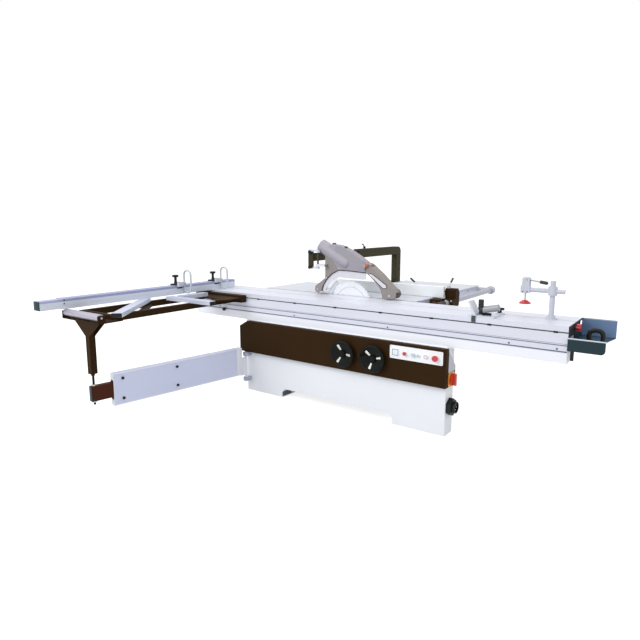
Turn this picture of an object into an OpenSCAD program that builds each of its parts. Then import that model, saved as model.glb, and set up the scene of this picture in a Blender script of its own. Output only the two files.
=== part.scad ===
// Sliding table saw: a sheet-metal stand carries a fixed table, a tilting saw unit and a long beam.
// A sliding carriage with an outrigger runs along the beam, and a swing arm follows the outrigger.
// Origin on the floor, midway between the anchor holes. +X is the carriage travel towards the operator.
// +Y points from the carriage to the rip fence, the blade plane is Y = 0, +Z is up.

/* [Table and carriage] */
// Height of the table surface above the floor
table_h = 845; // [835:1:865]
// Length of the sliding carriage and of its beam
carriage_len = 3200; // [3120:10:3280]
// Reach of the carriage from the middle of the stand to the operator's end
carriage_reach = 1645; // [1620:5:1680]
// Width of the sliding carriage
carriage_w = 385; // [380:1:392]
// Depth of the carriage's box section
carriage_h = 105; // [100:1:108]
// Height of the beam under its raised rail
beam_h = 117; // [110:1:124]
// Width of the beam
beam_w = 160; // [156:1:164]
// Gap from the carriage's edge to the blade plane
edge_gap = 15.5; // [14:0.5:17]
// Wall of the aluminium extrusions
web = 4; // [3:0.5:5]
// Rollers on each side of the running rail
cage_rollers = 17; // [9:1:21]
// Left end of the fixed table, measured from the middle of the stand
table_left = 1070; // [1040:5:1100]
// Right end of the fixed table, measured from the middle of the stand
table_right = 470; // [465:1:480]
// Depth of the fixed table from its front edge to the extension table
table_depth = 632; // [620:1:645]
// Depth of the extension table behind the fixed table
extension_depth = 740; // [700:5:780]
// Thickness of the table plates
plate_t = 14; // [12:1:16]

/* [Stand] */
// Length of the front pedestal
stand_len = 1828; // [1810:2:1850]
// Depth of the front pedestal
stand_depth = 127; // [120:1:134]
// Sheet thickness of the stand
sheet = 4; // [3:0.5:5]
// Length of the cabinet
cabinet_len = 1240; // [1236:1:1250]
// Height of the arch between the feet
arch_h = 75; // [60:1:90]
// Length of the left foot
foot_left = 390; // [370:1:410]
// Length of the right foot
foot_right = 403; // [380:1:420]
// Anchor hole spacing along the stand
anchor_dx = 1160; // [1150:2:1180]
// Anchor hole spacing across the stand
anchor_dy = 670; // [664:1:676]
// Anchor hole radius
anchor_r = 7; // [6:0.5:9]
// Outside radius of the dust spigot
spigot_r = 60; // [50:1:70]
// Diameter of the handwheels
wheel_d = 200; // [180:2:210]

/* [Saw unit] */
// Blade diameter
blade_d = 400; // [350:5:400]
// Teeth on the blade
blade_teeth = 48; // [36:2:60]
// Blade thickness
blade_t = 4.4; // [3:0.2:5]
// Arbor depth below the table with the blade fully raised
arbor_drop = 75; // [72:1:82]
// Scoring blade diameter
scoring_d = 120; // [100:2:124]
// Motor radius
motor_r = 95; // [85:1:98]
// Radius of the lift guide rods
lift_rod_r = 15; // [12:0.5:17]
// Radius of the arbor's pulley
arbor_pulley_r = 55; // [48:0.5:55]
// Radius of the motor's pulley
motor_pulley_r = 76; // [66:0.5:80]
// Outer radius of the tilt sectors
sector_r = 190; // [182:1:194]

/* [Outrigger and arm] */
// Distance of the support post from the blade plane
post_y = 1758; // [1750:1:1770]
// Side of the square support post
post_w = 45; // [40:1:50]
// Height of the swing arm's box above the floor
arm_z = 160; // [155:1:175]
// Height of the swing arm's box section
arm_h = 235; // [225:1:240]
// Width of the swing arm's box section
arm_w = 50; // [46:1:56]
// Length of the swing arm's box from the hinge
arm_len = 1180; // [1150:5:1200]
// Radius of the hinge pin
hinge_r = 8; // [6:0.5:12]
// Radius of the outrigger's roller
roller_r = 25; // [22:0.5:28]

/* [Crosscut fence] */
// Length of the fence profile
fence_len = 1680; // [1660:5:1690]
// Width of the fence profile
fence_w = 85; // [80:1:90]
// Height of the fence profile
fence_h = 72.6; // [70:0.2:80]
// Length of the telescopic end that shows at rest
fence_tail = 155; // [120:5:180]

/* [Guard and rip fence] */
// Height of the overhead tube above the table
boom_rise = 310; // [300:1:330]
// Radius of the guard's dust nozzle
nozzle_r = 56; // [48:1:56]
// Length of the rip fence
rip_len = 1200; // [1150:10:1220]
// Height of the rip fence
rip_h = 90; // [85:1:100]
// Radius of the round fence rail
rail_r = 22; // [20:0.5:24]

/* [Fits] */
// Radial running clearance of a shaft in its bore
run = 0.05; // [0.03:0.01:0.08]
// Clearance of a sliding piece on its guide
slip = 0.3; // [0.25:0.05:0.4]

/* [Hidden] */
$fn = 64;
white = [0.90, 0.92, 0.95];
brown = [0.21, 0.15, 0.09];
silver = [0.80, 0.81, 0.86];
steel = [0.62, 0.63, 0.66];
grey = [0.63, 0.61, 0.62];
blue = [0.20, 0.38, 0.52];
black = [0.09, 0.11, 0.11];
red = [0.84, 0.20, 0.20];
// Overshoot of a cut past the face that it opens
cut = 1;

// Carriage and beam section, seen along X
y_front = -(edge_gap + carriage_w);
x_head = carriage_reach;
x_tail = carriage_reach - carriage_len;
carriage_z = table_h - carriage_h;
slide_gap = 2;
beam_top = carriage_z - slide_gap;
seat_z = beam_top - beam_h;
box_w = 167.5;
box_back = y_front + box_w;
slab_back = -(edge_gap + 80);
slab_z = table_h - 34;
lip_z = table_h - 9;
rail_mid = y_front + 92;
rail_half = 43.5;
rail_top = beam_top + 34;
roller_d = 19.4;
channel_half = rail_half + roller_d + 2 * slip;
channel_top = rail_top + 10;
slot_y = -190;
cap_t = 6;

// Stand
stand_half = stand_len / 2;
stand_y = y_front - 14.5;
stand_back = stand_y + stand_depth;
cabinet_x = -790;
cabinet_x1 = cabinet_x + cabinet_len;
cabinet_back = 385;
pad_t = 12;
skid_front = 290;
skid_x1 = 640;
skid_h = 60;
table_y = 18;
flange_w = 30;
flange_t = 8;
rim_h = 45;
rim_z = table_h - rim_h;
table_back = table_y + table_depth;
extension_back = table_back + extension_depth;
wheel_z = seat_z - 142;
wheel_tilt_x = 122;
wheel_lift_x = 381;
shaft_r = 10;
fascia_y = stand_y - 40;
fascia_z = seat_z - 271;
fascia_top = seat_z - 4;
fascia_x = -960;
return_t = 14;
panel_z = seat_z - 70;
panel_y = fascia_y - 4;
stop_x = 627;
start_x = 691;
estop_x = 855;
button_r = 9;
switch_y = -367;
switch_z = seat_z - 222;

// Saw unit, which tilts about the X axis at the table surface
blade_x = -117;
blade_r = blade_d / 2;
arbor_z = table_h - arbor_drop;
arbor_r = 15;
motor_x = 185;
motor_z = arbor_z - 210;
belt_y = 228;
belt_w = 30;
sector_t = 25;
left_plate = -415;
right_plate = 345;
plate_w = 15;
rod_left = -365;
rod_right = 310;
rod_y_pos = 150;
unit_low = table_h - 540;
scoring_x = 160;
scoring_z = table_h - 57;
spindle_r = 10;
cradle_gap = 0.5;
member_top = 260;
member_h = 60;
member_w = 65;

// Outrigger, swing arm and crosscut fence
post_x = -1083;
arm_x = -stand_half + 25;
arm_y = stand_y - 47;
arm_dx = post_x - arm_x;
arm_dy = -post_y - arm_y;
arm_turn = atan2(arm_dx, -arm_dy);
post_reach = norm([arm_dx, arm_dy]);
post_low = arm_z + arm_h + 25;
guide_low = arm_z + 46;
guide_high = guide_low + 147;
guide_roll = 20;
frame_top = table_h - 30;
frame_low = frame_top - 45;
tube_front = -1050;
tube_rear = -1410;
tube_w = 40;
fence_x = -1440;
fence_mid = fence_x + fence_w / 2;
fence_z = table_h + 0.4;
fence_top = fence_z + fence_h;
fence_in = -110;
fence_out = fence_in - fence_len;
pivot_y = -480;
pivot_r = 10;
stop_1_y = -770;
stop_2_y = -346;
stop_pin_r = 8;
stop_pin_x = fence_x + fence_w + 15;
stop_pin_z = fence_top + 17;

// Hold-down clamp and edging shoe
clamp_x = x_head - 148;
clamp_z = table_h + 176;
clamp_post_r = 16;
ram_x = clamp_x - 164;
ram_r = 5;
lever_x = ram_x + 7;
lever_z = table_h + 240;
shoe_x = x_head - 469;
shoe_stud_r = 5.5;

// Overhead guard
boom_x = -480;
boom_w = 47;
boom_h = 66;
boom_z = table_h + boom_rise;
tube_t = 8;
boom_tip = -60;
post_front = extension_back + 25;
guide_x = -408;
guide_y = -66;
guide_r = 8;
hood_half = 38;
hood_wall = 3;
hood_hinge = [43, table_h + 255];
hinge_pin_r = 6;
// Roof of the guard hood above the table, from its left foot to the hinge, and its lower edge back again
hood_roof = [[-462, 34], [-456, 64], [-353, 137], [-353, 345], [-345, 395], [-290, 423], [-230, 417],
    [-170, 398], [-99, 366], [-29, 327], [29, 291], [70, 260]];
hood_edge = [[52, 200], [19, 202], [-97, 208], [-217, 210], [-284, 176], [-340, 124], [-372, 75],
    [-388, 27], [-423, 8], [-450, 13]];

// Rip fence
bar_x = 600;
bar_z = table_h - 34;
bar_front = 20;
bar_back = extension_back - 20;
rip_y = 320;
rip_t = 34;
rip_x1 = 560;
rip_z = table_h + 1;
carrier_y = 300;
carrier_len = 133;
block_top = rip_z + 75;
arm_top = rip_z + 62;
clamp_arm_x = 230;
lock_x = rip_x1 + 20;
lock_y = rip_y + rip_t + 26;
fence_lock_x = clamp_arm_x + 85;
fence_lock_y = rip_y + rip_t + 27;

module box(x0, x1, y0, y1, z0, z1) {
    translate([x0, y0, z0]) cube([x1 - x0, y1 - y0, z1 - z0]);
}

module rod_x(y, z, r, x0, x1) {
    translate([x0, y, z]) rotate([0, 90, 0]) cylinder(r = r, h = x1 - x0);
}

module rod_y(x, z, r, y0, y1) {
    translate([x, y1, z]) rotate([90, 0, 0]) cylinder(r = r, h = y1 - y0);
}

module rod_z(x, y, r, z0, z1) {
    translate([x, y, z0]) cylinder(r = r, h = z1 - z0);
}

// A flat outline in Y and Z, drawn out along X
module along_x(x0, x1) {
    translate([x0, 0, 0]) rotate([90, 0, 90]) linear_extrude(x1 - x0) children();
}

// A flat outline in X and Z, drawn out along Y
module along_y(y0, y1) {
    translate([0, y1, 0]) rotate([90, 0, 0]) linear_extrude(y1 - y0) children();
}

// A flat outline in X and Y, drawn out along Z
module along_z(z0, z1) {
    translate([0, 0, z0]) linear_extrude(z1 - z0) children();
}

module rect(u0, u1, v0, v1) {
    translate([u0, v0]) square([u1 - u0, v1 - v0]);
}

module round_rect(u0, u1, v0, v1, r) {
    rect(u0 + r, u1 - r, v0, v1);
    rect(u0, u1, v0 + r, v1 - r);
    for (u = [u0 + r, u1 - r], v = [v0 + r, v1 - r]) translate([u, v]) circle(r);
}

// A straight bar between two points of a flat outline
module bar(a, b, w) {
    d = b - a;
    translate(a) rotate(atan2(d[1], d[0])) translate([0, -w / 2]) square([norm(d), w]);
}

// A sector of a ring about the origin, from angle a0 to angle a1, less than half a turn
module ring_sector(r0, r1, a0, a1) {
    far = 2 * r1;
    mid = (a0 + a1) / 2;
    intersection() {
        difference() {
            circle(r1);
            circle(r0);
        }
        polygon([[0, 0], far * [cos(a0), sin(a0)], far * [cos(mid), sin(mid)], far * [cos(a1), sin(a1)]]);
    }
}

// Stand: the arch through the pedestal and cabinet, grown by g on its inner faces
module arch(g) {
    x0 = -stand_half + foot_left - g;
    x1 = stand_half - foot_right + g;
    slope = 30;
    along_y(stand_y - cut, skid_front + g)
        polygon([[x0, -cut], [x1, -cut], [x1, arch_h + g - slope], [x1 - slope, arch_h + g],
            [x0 + slope, arch_h + g], [x0, arch_h + g - slope]]);
}

module stand_outer() {
    box(-stand_half, stand_half, stand_y, stand_back, 0, seat_z);
    box(cabinet_x, cabinet_x1, stand_back - sheet, cabinet_back, 0, seat_z);
    box(cabinet_x, cabinet_x1, table_y, cabinet_back, seat_z - sheet, rim_z);
    box(cabinet_x, skid_x1, skid_front, cabinet_back, 0, skid_h);
}

module stand_hollow() {
    seat_back = y_front + beam_w + 5;
    in_x0 = cabinet_x + sheet;
    in_x1 = cabinet_x1 - sheet;
    in_back = cabinet_back - sheet;
    difference() {
        union() {
            box(-stand_half + sheet, stand_half - sheet, stand_y + sheet, stand_back - sheet,
                pad_t, seat_z - sheet);
            box(in_x0, in_x1, stand_y + sheet, in_back, pad_t, seat_z - sheet);
            box(in_x0, in_x1, seat_back, in_back, pad_t, seat_z + cut);
            box(in_x0, in_x1, table_y - cut, in_back, seat_z - sheet, rim_z - flange_t);
            box(in_x0 + flange_w, in_x1 - flange_w, table_y - cut, in_back - flange_w, seat_z, rim_z + cut);
            box(cabinet_x1, skid_x1 - sheet, skid_front + sheet, in_back, pad_t, skid_h + cut);
        }
        arch(sheet);
    }
}

module hinge_lug(z0, z1) {
    half = 25;
    along_z(z0, z1) {
        translate([arm_x, arm_y]) circle(half);
        rect(arm_x - half, arm_x + half, arm_y, stand_y);
    }
}

module base_frame() color(white) {
    vent_x = 120;
    vent_step = 40;
    spigot_x = -560;
    spigot_z = 200;
    difference() {
        union() {
            difference() {
                stand_outer();
                stand_hollow();
            }
            for (x = [left_plate - sector_t / 2, right_plate + plate_w + sector_t / 2]) difference() {
                box(x - member_w / 2, x + member_w / 2, stand_y + sheet, cabinet_back - sheet,
                    member_top - member_h, member_top);
                box(x - member_w / 2 + sheet, x + member_w / 2 - sheet, stand_y, cabinet_back,
                    member_top - member_h + sheet, member_top - sheet);
            }
            for (x = [wheel_tilt_x, wheel_lift_x])
                rod_y(x, wheel_z, 2.2 * shaft_r, stand_y + sheet, stand_y + 20);
            hinge_lug(95, 125);
            hinge_lug(315, 345);
            rod_z(arm_x, arm_y, hinge_r, 95, 345);
            rod_y(spigot_x, spigot_z, spigot_r, cabinet_back - sheet, cabinet_back + 80);
        }
        arch(0);
        for (x = [-anchor_dx / 2, anchor_dx / 2], y = [-anchor_dy / 2, anchor_dy / 2])
            rod_z(x, y, anchor_r, -cut, pad_t + cut);
        for (x = [wheel_tilt_x, wheel_lift_x])
            rod_y(x, wheel_z, shaft_r + run, stand_y - cut, stand_y + 20 + cut);
        rod_y(spigot_x, spigot_z, spigot_r - sheet, cabinet_back - sheet - cut, cabinet_back + 80 + cut);
        for (i = [0 : 5])
            box(vent_x + i * vent_step, vent_x + i * vent_step + 12, cabinet_back - sheet - cut,
                cabinet_back + cut, 330, 470);
    }
}

function fascia_points(g) = [[fascia_x + g, fascia_z + g], [stand_half + return_t - g, fascia_z + g],
    [stand_half + return_t - g, fascia_top - g], [fascia_x + 84 + g / 2, fascia_top - g],
    [fascia_x + g, fascia_top - 47 - g / 2]];

function return_points(g) = [[stand_y, fascia_z + g], [stand_back - 7 - g, fascia_z + g],
    [stand_back - 7 - g, fascia_z + 130 - g / 2], [stand_y, fascia_top - 17 - g]];

module fascia_panel() color(brown) {
    wall = 3;
    difference() {
        union() {
            along_y(fascia_y, stand_y) polygon(fascia_points(0));
            along_x(stand_half, stand_half + return_t) polygon(return_points(0));
        }
        along_y(fascia_y + wall, stand_y + cut) polygon(fascia_points(wall));
        along_x(stand_half - cut, stand_half + return_t - wall) polygon(return_points(wall));
        for (x = [wheel_tilt_x, wheel_lift_x]) rod_y(x, wheel_z, 14, fascia_y - cut, stand_y);
        for (x = [stop_x, start_x, estop_x])
            rod_y(x, panel_z, button_r + slip, fascia_y - cut, stand_y);
        rod_x(switch_y, switch_z, 8 + run, stand_half, stand_half + return_t + cut);
    }
}

module control_plate() color(grey) {
    x0 = 508;
    x1 = 905;
    lamp_x = 728;
    key_x = 784;
    difference() {
        union() {
            along_y(panel_y, fascia_y) round_rect(x0, x1, panel_z - 46, panel_z + 47, 8);
            along_y(panel_y - 3, panel_y) round_rect(x0 + 14, x0 + 74, panel_z - 32, panel_z + 28, 4);
            rod_y(lamp_x, panel_z, 13, panel_y - 8, panel_y);
            rod_y(key_x, panel_z, 15, panel_y - 7, panel_y);
            for (x = [stop_x, start_x]) rod_y(x, panel_z, 16, panel_y - 5, panel_y);
            rod_y(estop_x, panel_z, 19, panel_y - 4, panel_y);
        }
        along_y(panel_y - 3 - cut, panel_y - 1) round_rect(x0 + 19, x0 + 69, panel_z - 26, panel_z + 22, 3);
        for (x = [stop_x, start_x, estop_x])
            rod_y(x, panel_z, button_r + slip, panel_y - 10, fascia_y + cut);
        box(key_x - 2, key_x + 2, panel_y - 10, panel_y - 5, panel_z - 9, panel_z + 9);
    }
}

module push_button(x, cap_r, cap_t, stand_off) {
    rod_y(x, panel_z, button_r, panel_y - stand_off, fascia_y + 12);
    rod_y(x, panel_z, cap_r, panel_y - stand_off - cap_t, panel_y - stand_off);
}

module emergency_stop() color(red) {
    push_button(estop_x, 20, 14, 10);
}

module stop_button() color(red) {
    push_button(stop_x, 13, 6, 10);
}

module start_button() color([0.72, 0.80, 0.90]) {
    push_button(start_x, 13, 6, 10);
}

module main_switch() color(red) {
    face = stand_half + return_t + 6;
    rod_x(switch_y, switch_z, 8, stand_half + 6, face);
    rod_x(switch_y, switch_z, 42, face, face + 12);
    box(face + 10, face + 34, switch_y - 8, switch_y + 8, switch_z - 40, switch_z + 40);
}

module inlet_box() color(black) {
    y = -350;
    z = (fascia_z + 50) / 2;
    r = 62;
    difference() {
        union() {
            translate([stand_half, y, z]) rotate([0, 90, 0]) cylinder(r = r, h = 34, $fn = 6);
            rod_x(y, z, 40, stand_half + 30, stand_half + 56);
        }
        rod_x(y, z, 34, stand_half + 20, stand_half + 60);
    }
    for (a = [0 : 72 : 288])
        rod_x(y + 20 * cos(a), z + 20 * sin(a), 4, stand_half + 18, stand_half + 44);
}

module table_main() color(silver) {
    rim = 12;
    under = table_h - plate_t;
    clear_x0 = left_plate - 55;
    clear_x1 = right_plate + plate_w + 40;
    box(-table_left, table_right, table_y, table_back, under, table_h);
    box(-table_left, -table_left + rim, table_y, table_back, rim_z, under);
    box(table_right - rim, table_right, table_y, table_back, rim_z, under);
    box(-table_left, table_right, table_back - rim, table_back, rim_z, under);
    box(-table_left, clear_x0, table_y, table_y + rim, rim_z, under);
    box(clear_x1, table_right, table_y, table_y + rim, rim_z, under);
    box(cabinet_x, cabinet_x + flange_w, table_y, table_back, rim_z, under);
    box(cabinet_x1 - flange_w, cabinet_x1, table_y, table_back, rim_z, under);
    box(-table_left, table_right, cabinet_back - flange_w, cabinet_back, rim_z, under);
}

module table_extension() color(silver) {
    x0 = -318;
    rim = 10;
    strut_w = 30;
    under = table_h - plate_t;
    reach = table_back + 0.62 * extension_depth;
    low = rim_z - 260;
    box(x0, table_right, table_back, extension_back, under, table_h);
    for (x = [x0, table_right - rim]) box(x, x + rim, table_back, extension_back, rim_z, under);
    for (y = [table_back, extension_back - rim]) box(x0, table_right, y, y + rim, rim_z, under);
    for (x = [x0 + 40, cabinet_x1 - 60]) along_x(x, x + strut_w)
        polygon([[cabinet_back, low], [cabinet_back, low - 50], [reach, rim_z - 10], [reach, under],
            [reach - 60, under], [reach - 60, rim_z - 10]]);
}

module edge_scale() color(silver) {
    depth = 8;
    y0 = bar_front + 52;
    y1 = bar_back - 37;
    difference() {
        box(table_right, table_right + depth, y0, y1, table_h - 55, table_h - 3);
        for (y = [y0 + 60 : 230 : y1 - 120])
            along_x(table_right - cut, table_right + depth + cut)
                round_rect(y, y + 60, table_h - 34, table_h - 22, 5.9);
    }
}

module rail_bar() color(silver) {
    rod_y(bar_x, bar_z, rail_r, bar_front, bar_back);
}

module rail_bracket(y0, y1) {
    difference() {
        union() {
            box(table_right, bar_x, y0, y1, bar_z - 21, bar_z + 19);
            rod_y(bar_x, bar_z, rail_r + 16, y0, y1);
        }
        rod_y(bar_x, bar_z, rail_r + 0.02, y0 - cut, y1 + cut);
    }
}

module rail_brackets() color(brown) {
    rail_bracket(bar_front, bar_front + 50);
    rail_bracket(bar_back - 35, bar_back);
}

module beam_section() {
    slot_mid = beam_top - 46;
    beam_back = y_front + beam_w;
    difference() {
        union() {
            rect(y_front, beam_back, seat_z, beam_top);
            rect(rail_mid - rail_half, rail_mid + rail_half, beam_top - web, rail_top);
        }
        rect(y_front - cut, y_front + 8, slot_mid - 4, slot_mid + 4);
        rect(y_front + 8 + web, rail_mid - web / 2, seat_z + web, beam_top - web);
        rect(rail_mid + web / 2, beam_back - web, seat_z + web, beam_top - web);
        rect(rail_mid - rail_half + web, rail_mid + rail_half - web, beam_top, rail_top - web);
    }
}

module carriage_beam() color(silver) {
    along_x(x_tail, x_head) beam_section();
}

module end_tray() color(blue) {
    wall = 4;
    y0 = y_front - 7.5;
    y1 = -edge_gap + 3.5;
    low_z = beam_top - 35;
    floor_z = beam_top - 8;
    apron_z = beam_top + 40;
    x1 = x_head + 199;
    corner = 24;
    taper = 70;
    rim_r = 4;
    along_y(y0 - wall, y0) {
        rect(x_head, x1, low_z + corner, apron_z);
        rect(x_head, x1 - corner, low_z, apron_z);
        translate([x1 - corner, low_z + corner]) circle(corner);
    }
    along_z(floor_z, floor_z + wall)
        polygon([[x_head, y0 - wall], [x1 - taper, y0 - wall], [x1, y1 + wall], [x_head, y1 + wall]]);
    box(x_head, x1, y1, y1 + wall, floor_z, table_h);
    box(x_head, x_head + wall, y0 - wall, y1 + wall, low_z, beam_top - 3);
    rod_x(y0 - wall, apron_z, rim_r, x_head, x1);
    rod_x(y1 + wall, table_h - rim_r, rim_r, x_head, x1);
}

module guard_post() color(brown) {
    x0 = boom_x - boom_w / 2 - tube_t;
    x1 = boom_x + boom_w / 2 + tube_t;
    z0 = boom_z - boom_h / 2 - tube_t;
    z1 = boom_z + boom_h / 2 + tube_t;
    y0 = table_back + 5;
    y1 = post_front + 88;
    foot_z = rim_z - 30;
    bend = 55;
    difference() {
        along_x(x0, x1) {
            rect(y0, y1 - bend, z0, z1);
            rect(post_front, y1, foot_z - 70, z1 - bend);
            intersection() {
                translate([y1 - bend, z1 - bend]) circle(bend);
                rect(y1 - bend, y1, z1 - bend, z1);
            }
        }
        box(x0 + tube_t - slip, x1 - tube_t + slip, y0 - cut, post_front - 40, z0 + tube_t - slip,
            z1 - tube_t + slip);
    }
    difference() {
        box(x0, 60, extension_back, post_front + sheet, foot_z, foot_z + 60);
        box(x0 + sheet, 60 - sheet, extension_back - cut, post_front - sheet, foot_z + sheet,
            foot_z + 60 - sheet);
    }
}

module trunnion(x0, x1) {
    column = 50;
    along_x(x0, x1) difference() {
        union() {
            translate([0, table_h]) ring_sector(sector_r + slip, sector_r + 25, -120, -60);
            rect(-column, column, member_top, table_h - sector_r - 10);
        }
        translate([0, table_h]) circle(sector_r + slip);
    }
}

module trunnions() color(steel) {
    trunnion(left_plate - sector_t, left_plate - cradle_gap);
    trunnion(right_plate + plate_w + cradle_gap, right_plate + plate_w + sector_t);
}

module carriage_outline() {
    difference() {
        union() {
            rect(y_front, box_back, carriage_z, table_h);
            rect(y_front, slab_back, slab_z, table_h);
            rect(y_front, -edge_gap, lip_z, table_h);
        }
        rect(rail_mid - channel_half, rail_mid + channel_half, carriage_z - cut, channel_top);
    }
}

module carriage_profile() color(silver) {
    t_low = table_h - 42;
    t_depth = 12;
    chamber_z0 = channel_top + web;
    chamber_z1 = table_h - web;
    along_x(x_tail, x_head) difference() {
        carriage_outline();
        rect(y_front - cut, y_front + 6, t_low, t_low + 8);
        rect(y_front + 6, y_front + t_depth, t_low - 5, t_low + 13);
        rect(y_front + web, rail_mid - channel_half - web, carriage_z + web, channel_top);
        rect(y_front + t_depth + web, rail_mid - web / 2, chamber_z0, chamber_z1);
        rect(rail_mid + web / 2, box_back - web, chamber_z0, chamber_z1);
        rect(box_back, slot_y - 16, slab_z + web, chamber_z1);
        rect(slot_y + 16, slab_back - web, slab_z + web, chamber_z1);
        rect(slot_y - 6, slot_y + 6, table_h - 14, table_h + cut);
        rect(slot_y - 11, slot_y + 11, table_h - 23, table_h - 12);
    }
}

module carriage_end_caps() color(black) {
    along_x(x_head, x_head + cap_t) carriage_outline();
    along_x(x_tail - cap_t, x_tail) carriage_outline();
}

module push_handle() color(black) {
    x0 = x_head + cap_t;
    y = rail_mid + channel_half + 6;
    r = 12;
    bar_low = carriage_z + 2;
    bar_high = bar_low + 8;
    leg = x0 + 76;
    reach = 80;
    top = table_h - 30;
    box(x0, leg + reach + r, y - r, y + r, bar_low, bar_high);
    for (x = [leg, leg + reach]) rod_z(x, y, r, bar_low, top);
    rod_x(y, top, r, leg, leg + reach);
    for (x = [leg, leg + reach]) translate([x, y, top]) sphere(r);
}

module carriage_lock_knob() color(red) {
    x0 = x_head + cap_t;
    y = -249;
    z = table_h - 27;
    rod_x(y, z, 7, x0 + slip, x0 + 12);
    along_x(x0 + 10, x0 + 32) translate([y, z]) {
        circle(19);
        for (a = [0 : 60 : 300]) rotate(a) translate([18, 0]) circle(7);
    }
}

module roller_cage() color(black) {
    half = 800;
    strip_half = 6;
    z0 = beam_top + 6;
    z1 = rail_top - 4;
    mid = (z0 + z1) / 2;
    for (side = [-1, 1]) {
        y = rail_mid + side * (rail_half + slip + roller_d / 2);
        box(-half, half, y - strip_half, y + strip_half, mid - 2, mid + 2);
        for (i = [0 : cage_rollers - 1])
            rod_z(-half + 20 + i * (2 * half - 40) / (cage_rollers - 1), y, roller_d / 2, z0, z1);
    }
}

// Outrigger: ladder frame, roller cheeks, funnel plates and support post
module outrigger_frame() color(brown) {
    out_y = -post_y + 118;
    plate_z = frame_low + 10;
    cheek = 8;
    cheek_x0 = tube_rear + 32;
    cheek_x1 = -934;
    axle_z = table_h - roller_r;
    fork_z = plate_z - 98;
    half = post_w / 2;
    difference() {
        union() {
            box(-1500, -930, y_front - 60, y_front, frame_low, frame_top + 15);
            box(tube_rear, -930, -620, y_front - 50, frame_top - 12, frame_top);
            for (x = [tube_rear, tube_front])
                box(x, x + tube_w, out_y, y_front - 50, frame_low, frame_top);
            box(tube_rear, tube_front + tube_w, out_y, out_y + tube_w, frame_low, frame_top);
            along_z(frame_top - 12, frame_top)
                polygon([[tube_front + tube_w, -780], [tube_front + tube_w, -620], [-930, -620]]);
            along_z(frame_low, frame_top - 15)
                bar([tube_rear + tube_w - 25, -1033], [tube_front + 25, -1427], 30);
            box(cheek_x0, cheek_x1, -post_y - 27, out_y + tube_w, plate_z, plate_z + 8);
            for (x = [cheek_x0, cheek_x1 - cheek])
                box(x, x + cheek, -post_y - 27, -post_y + 28, plate_z, axle_z + 15);
            along_y(-post_y - half, -post_y + half)
                rect(post_x - half, post_x + half, post_low, plate_z + 4);
            for (y = [-post_y - half, -post_y + half - cheek]) along_y(y, y + cheek)
                polygon([[post_x - half, fork_z], [post_x + half, fork_z], [cheek_x1, plate_z + 4],
                    [post_x - 148, plate_z + 4]]);
            rod_z(fence_mid, pivot_y, 2.5 * pivot_r, frame_top - 12, table_h - slip);
        }
        rod_x(-post_y, axle_z, 8 + run, cheek_x0 - cut, cheek_x1 + cut);
        rod_z(fence_mid, pivot_y, pivot_r + run, frame_low - cut, table_h + cut);
    }
}

module outrigger_slats() color(silver) {
    groove = 6;
    difference() {
        along_z(frame_top, table_h) {
            bar([-905, -post_y + 93], [-1385, -1080], 70);
            rect(-1320, -800, -935, -875);
            rect(-1300, -1230, -840, -560);
        }
        box(-1320 - cut, -800 + cut, -908, -902, table_h - groove, table_h + cut);
        box(-1268, -1262, -840 - cut, -560 + cut, table_h - groove, table_h + cut);
    }
}

module outrigger_roller() color(silver) {
    x0 = tube_rear + 41;
    x1 = -943;
    axle_z = table_h - roller_r;
    rod_x(-post_y, axle_z, roller_r, x0, x1);
    rod_x(-post_y, axle_z, 8, x0 - 10, x1 + 10);
}

module fence_profile() color(silver) {
    groove = 4;
    difference() {
        along_y(fence_out, fence_in) difference() {
            rect(fence_x, fence_x + fence_w, fence_z, fence_top);
            rect(fence_x + web, fence_x + fence_w - web, fence_z + web, fence_top - web);
        }
        box(fence_x + fence_w - 2, fence_x + fence_w + cut, fence_out - cut, fence_in + cut,
            fence_z + 24, fence_z + 24 + groove);
    }
    rod_z(fence_mid, pivot_y, pivot_r, frame_top - 20, fence_z + web);
}

module fence_extension() color(silver) {
    play = web + slip;
    along_y(fence_out - fence_tail, fence_out + 690) difference() {
        rect(fence_x + play, fence_x + fence_w - play, fence_z + play, fence_top - play);
        rect(fence_x + play + web, fence_x + fence_w - play - web, fence_z + play + web,
            fence_top - play - web);
    }
}

// Flip stop: a saddle on the fence, a pin along the fence and a looped paddle that swings on it
module stop_slider(y) {
    y0 = y - 20;
    y1 = y + 30;
    wing = 5;
    side = fence_x + fence_w;
    difference() {
        union() {
            box(fence_x - wing, side + wing, y0, y1, fence_top - 25, fence_top + 12);
            box(side - 30, stop_pin_x + 12, y0, y1, fence_top - 5, stop_pin_z + 12);
            rod_z(fence_mid, y, 14, fence_top + 12, fence_top + 30);
        }
        box(fence_x - slip, side + slip, y0 - cut, y1 + cut, fence_z, fence_top + slip);
    }
    rod_y(stop_pin_x, stop_pin_z, stop_pin_r, y1 - cut, y + 56);
    rod_z(fence_mid, y, 6, fence_top + 30, fence_top + 60);
}

module stop_paddle(y) {
    near = y + 45;
    t = 8;
    x0 = fence_x + fence_w + 5;
    x1 = x0 + 94;
    z0 = table_h + 8;
    z1 = table_h + 205;
    loop = 9;
    bend = 44;
    difference() {
        union() {
            rod_y(stop_pin_x, stop_pin_z, 15, y + 30 + slip, near + t);
            along_y(near, near + t) difference() {
                round_rect(x0, x1, z0, z1, bend);
                round_rect(x0 + loop, x1 - loop, z0 + loop, z1 - loop, bend - loop);
            }
        }
        rod_y(stop_pin_x, stop_pin_z, stop_pin_r + run, y, near + t + cut);
    }
}

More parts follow.
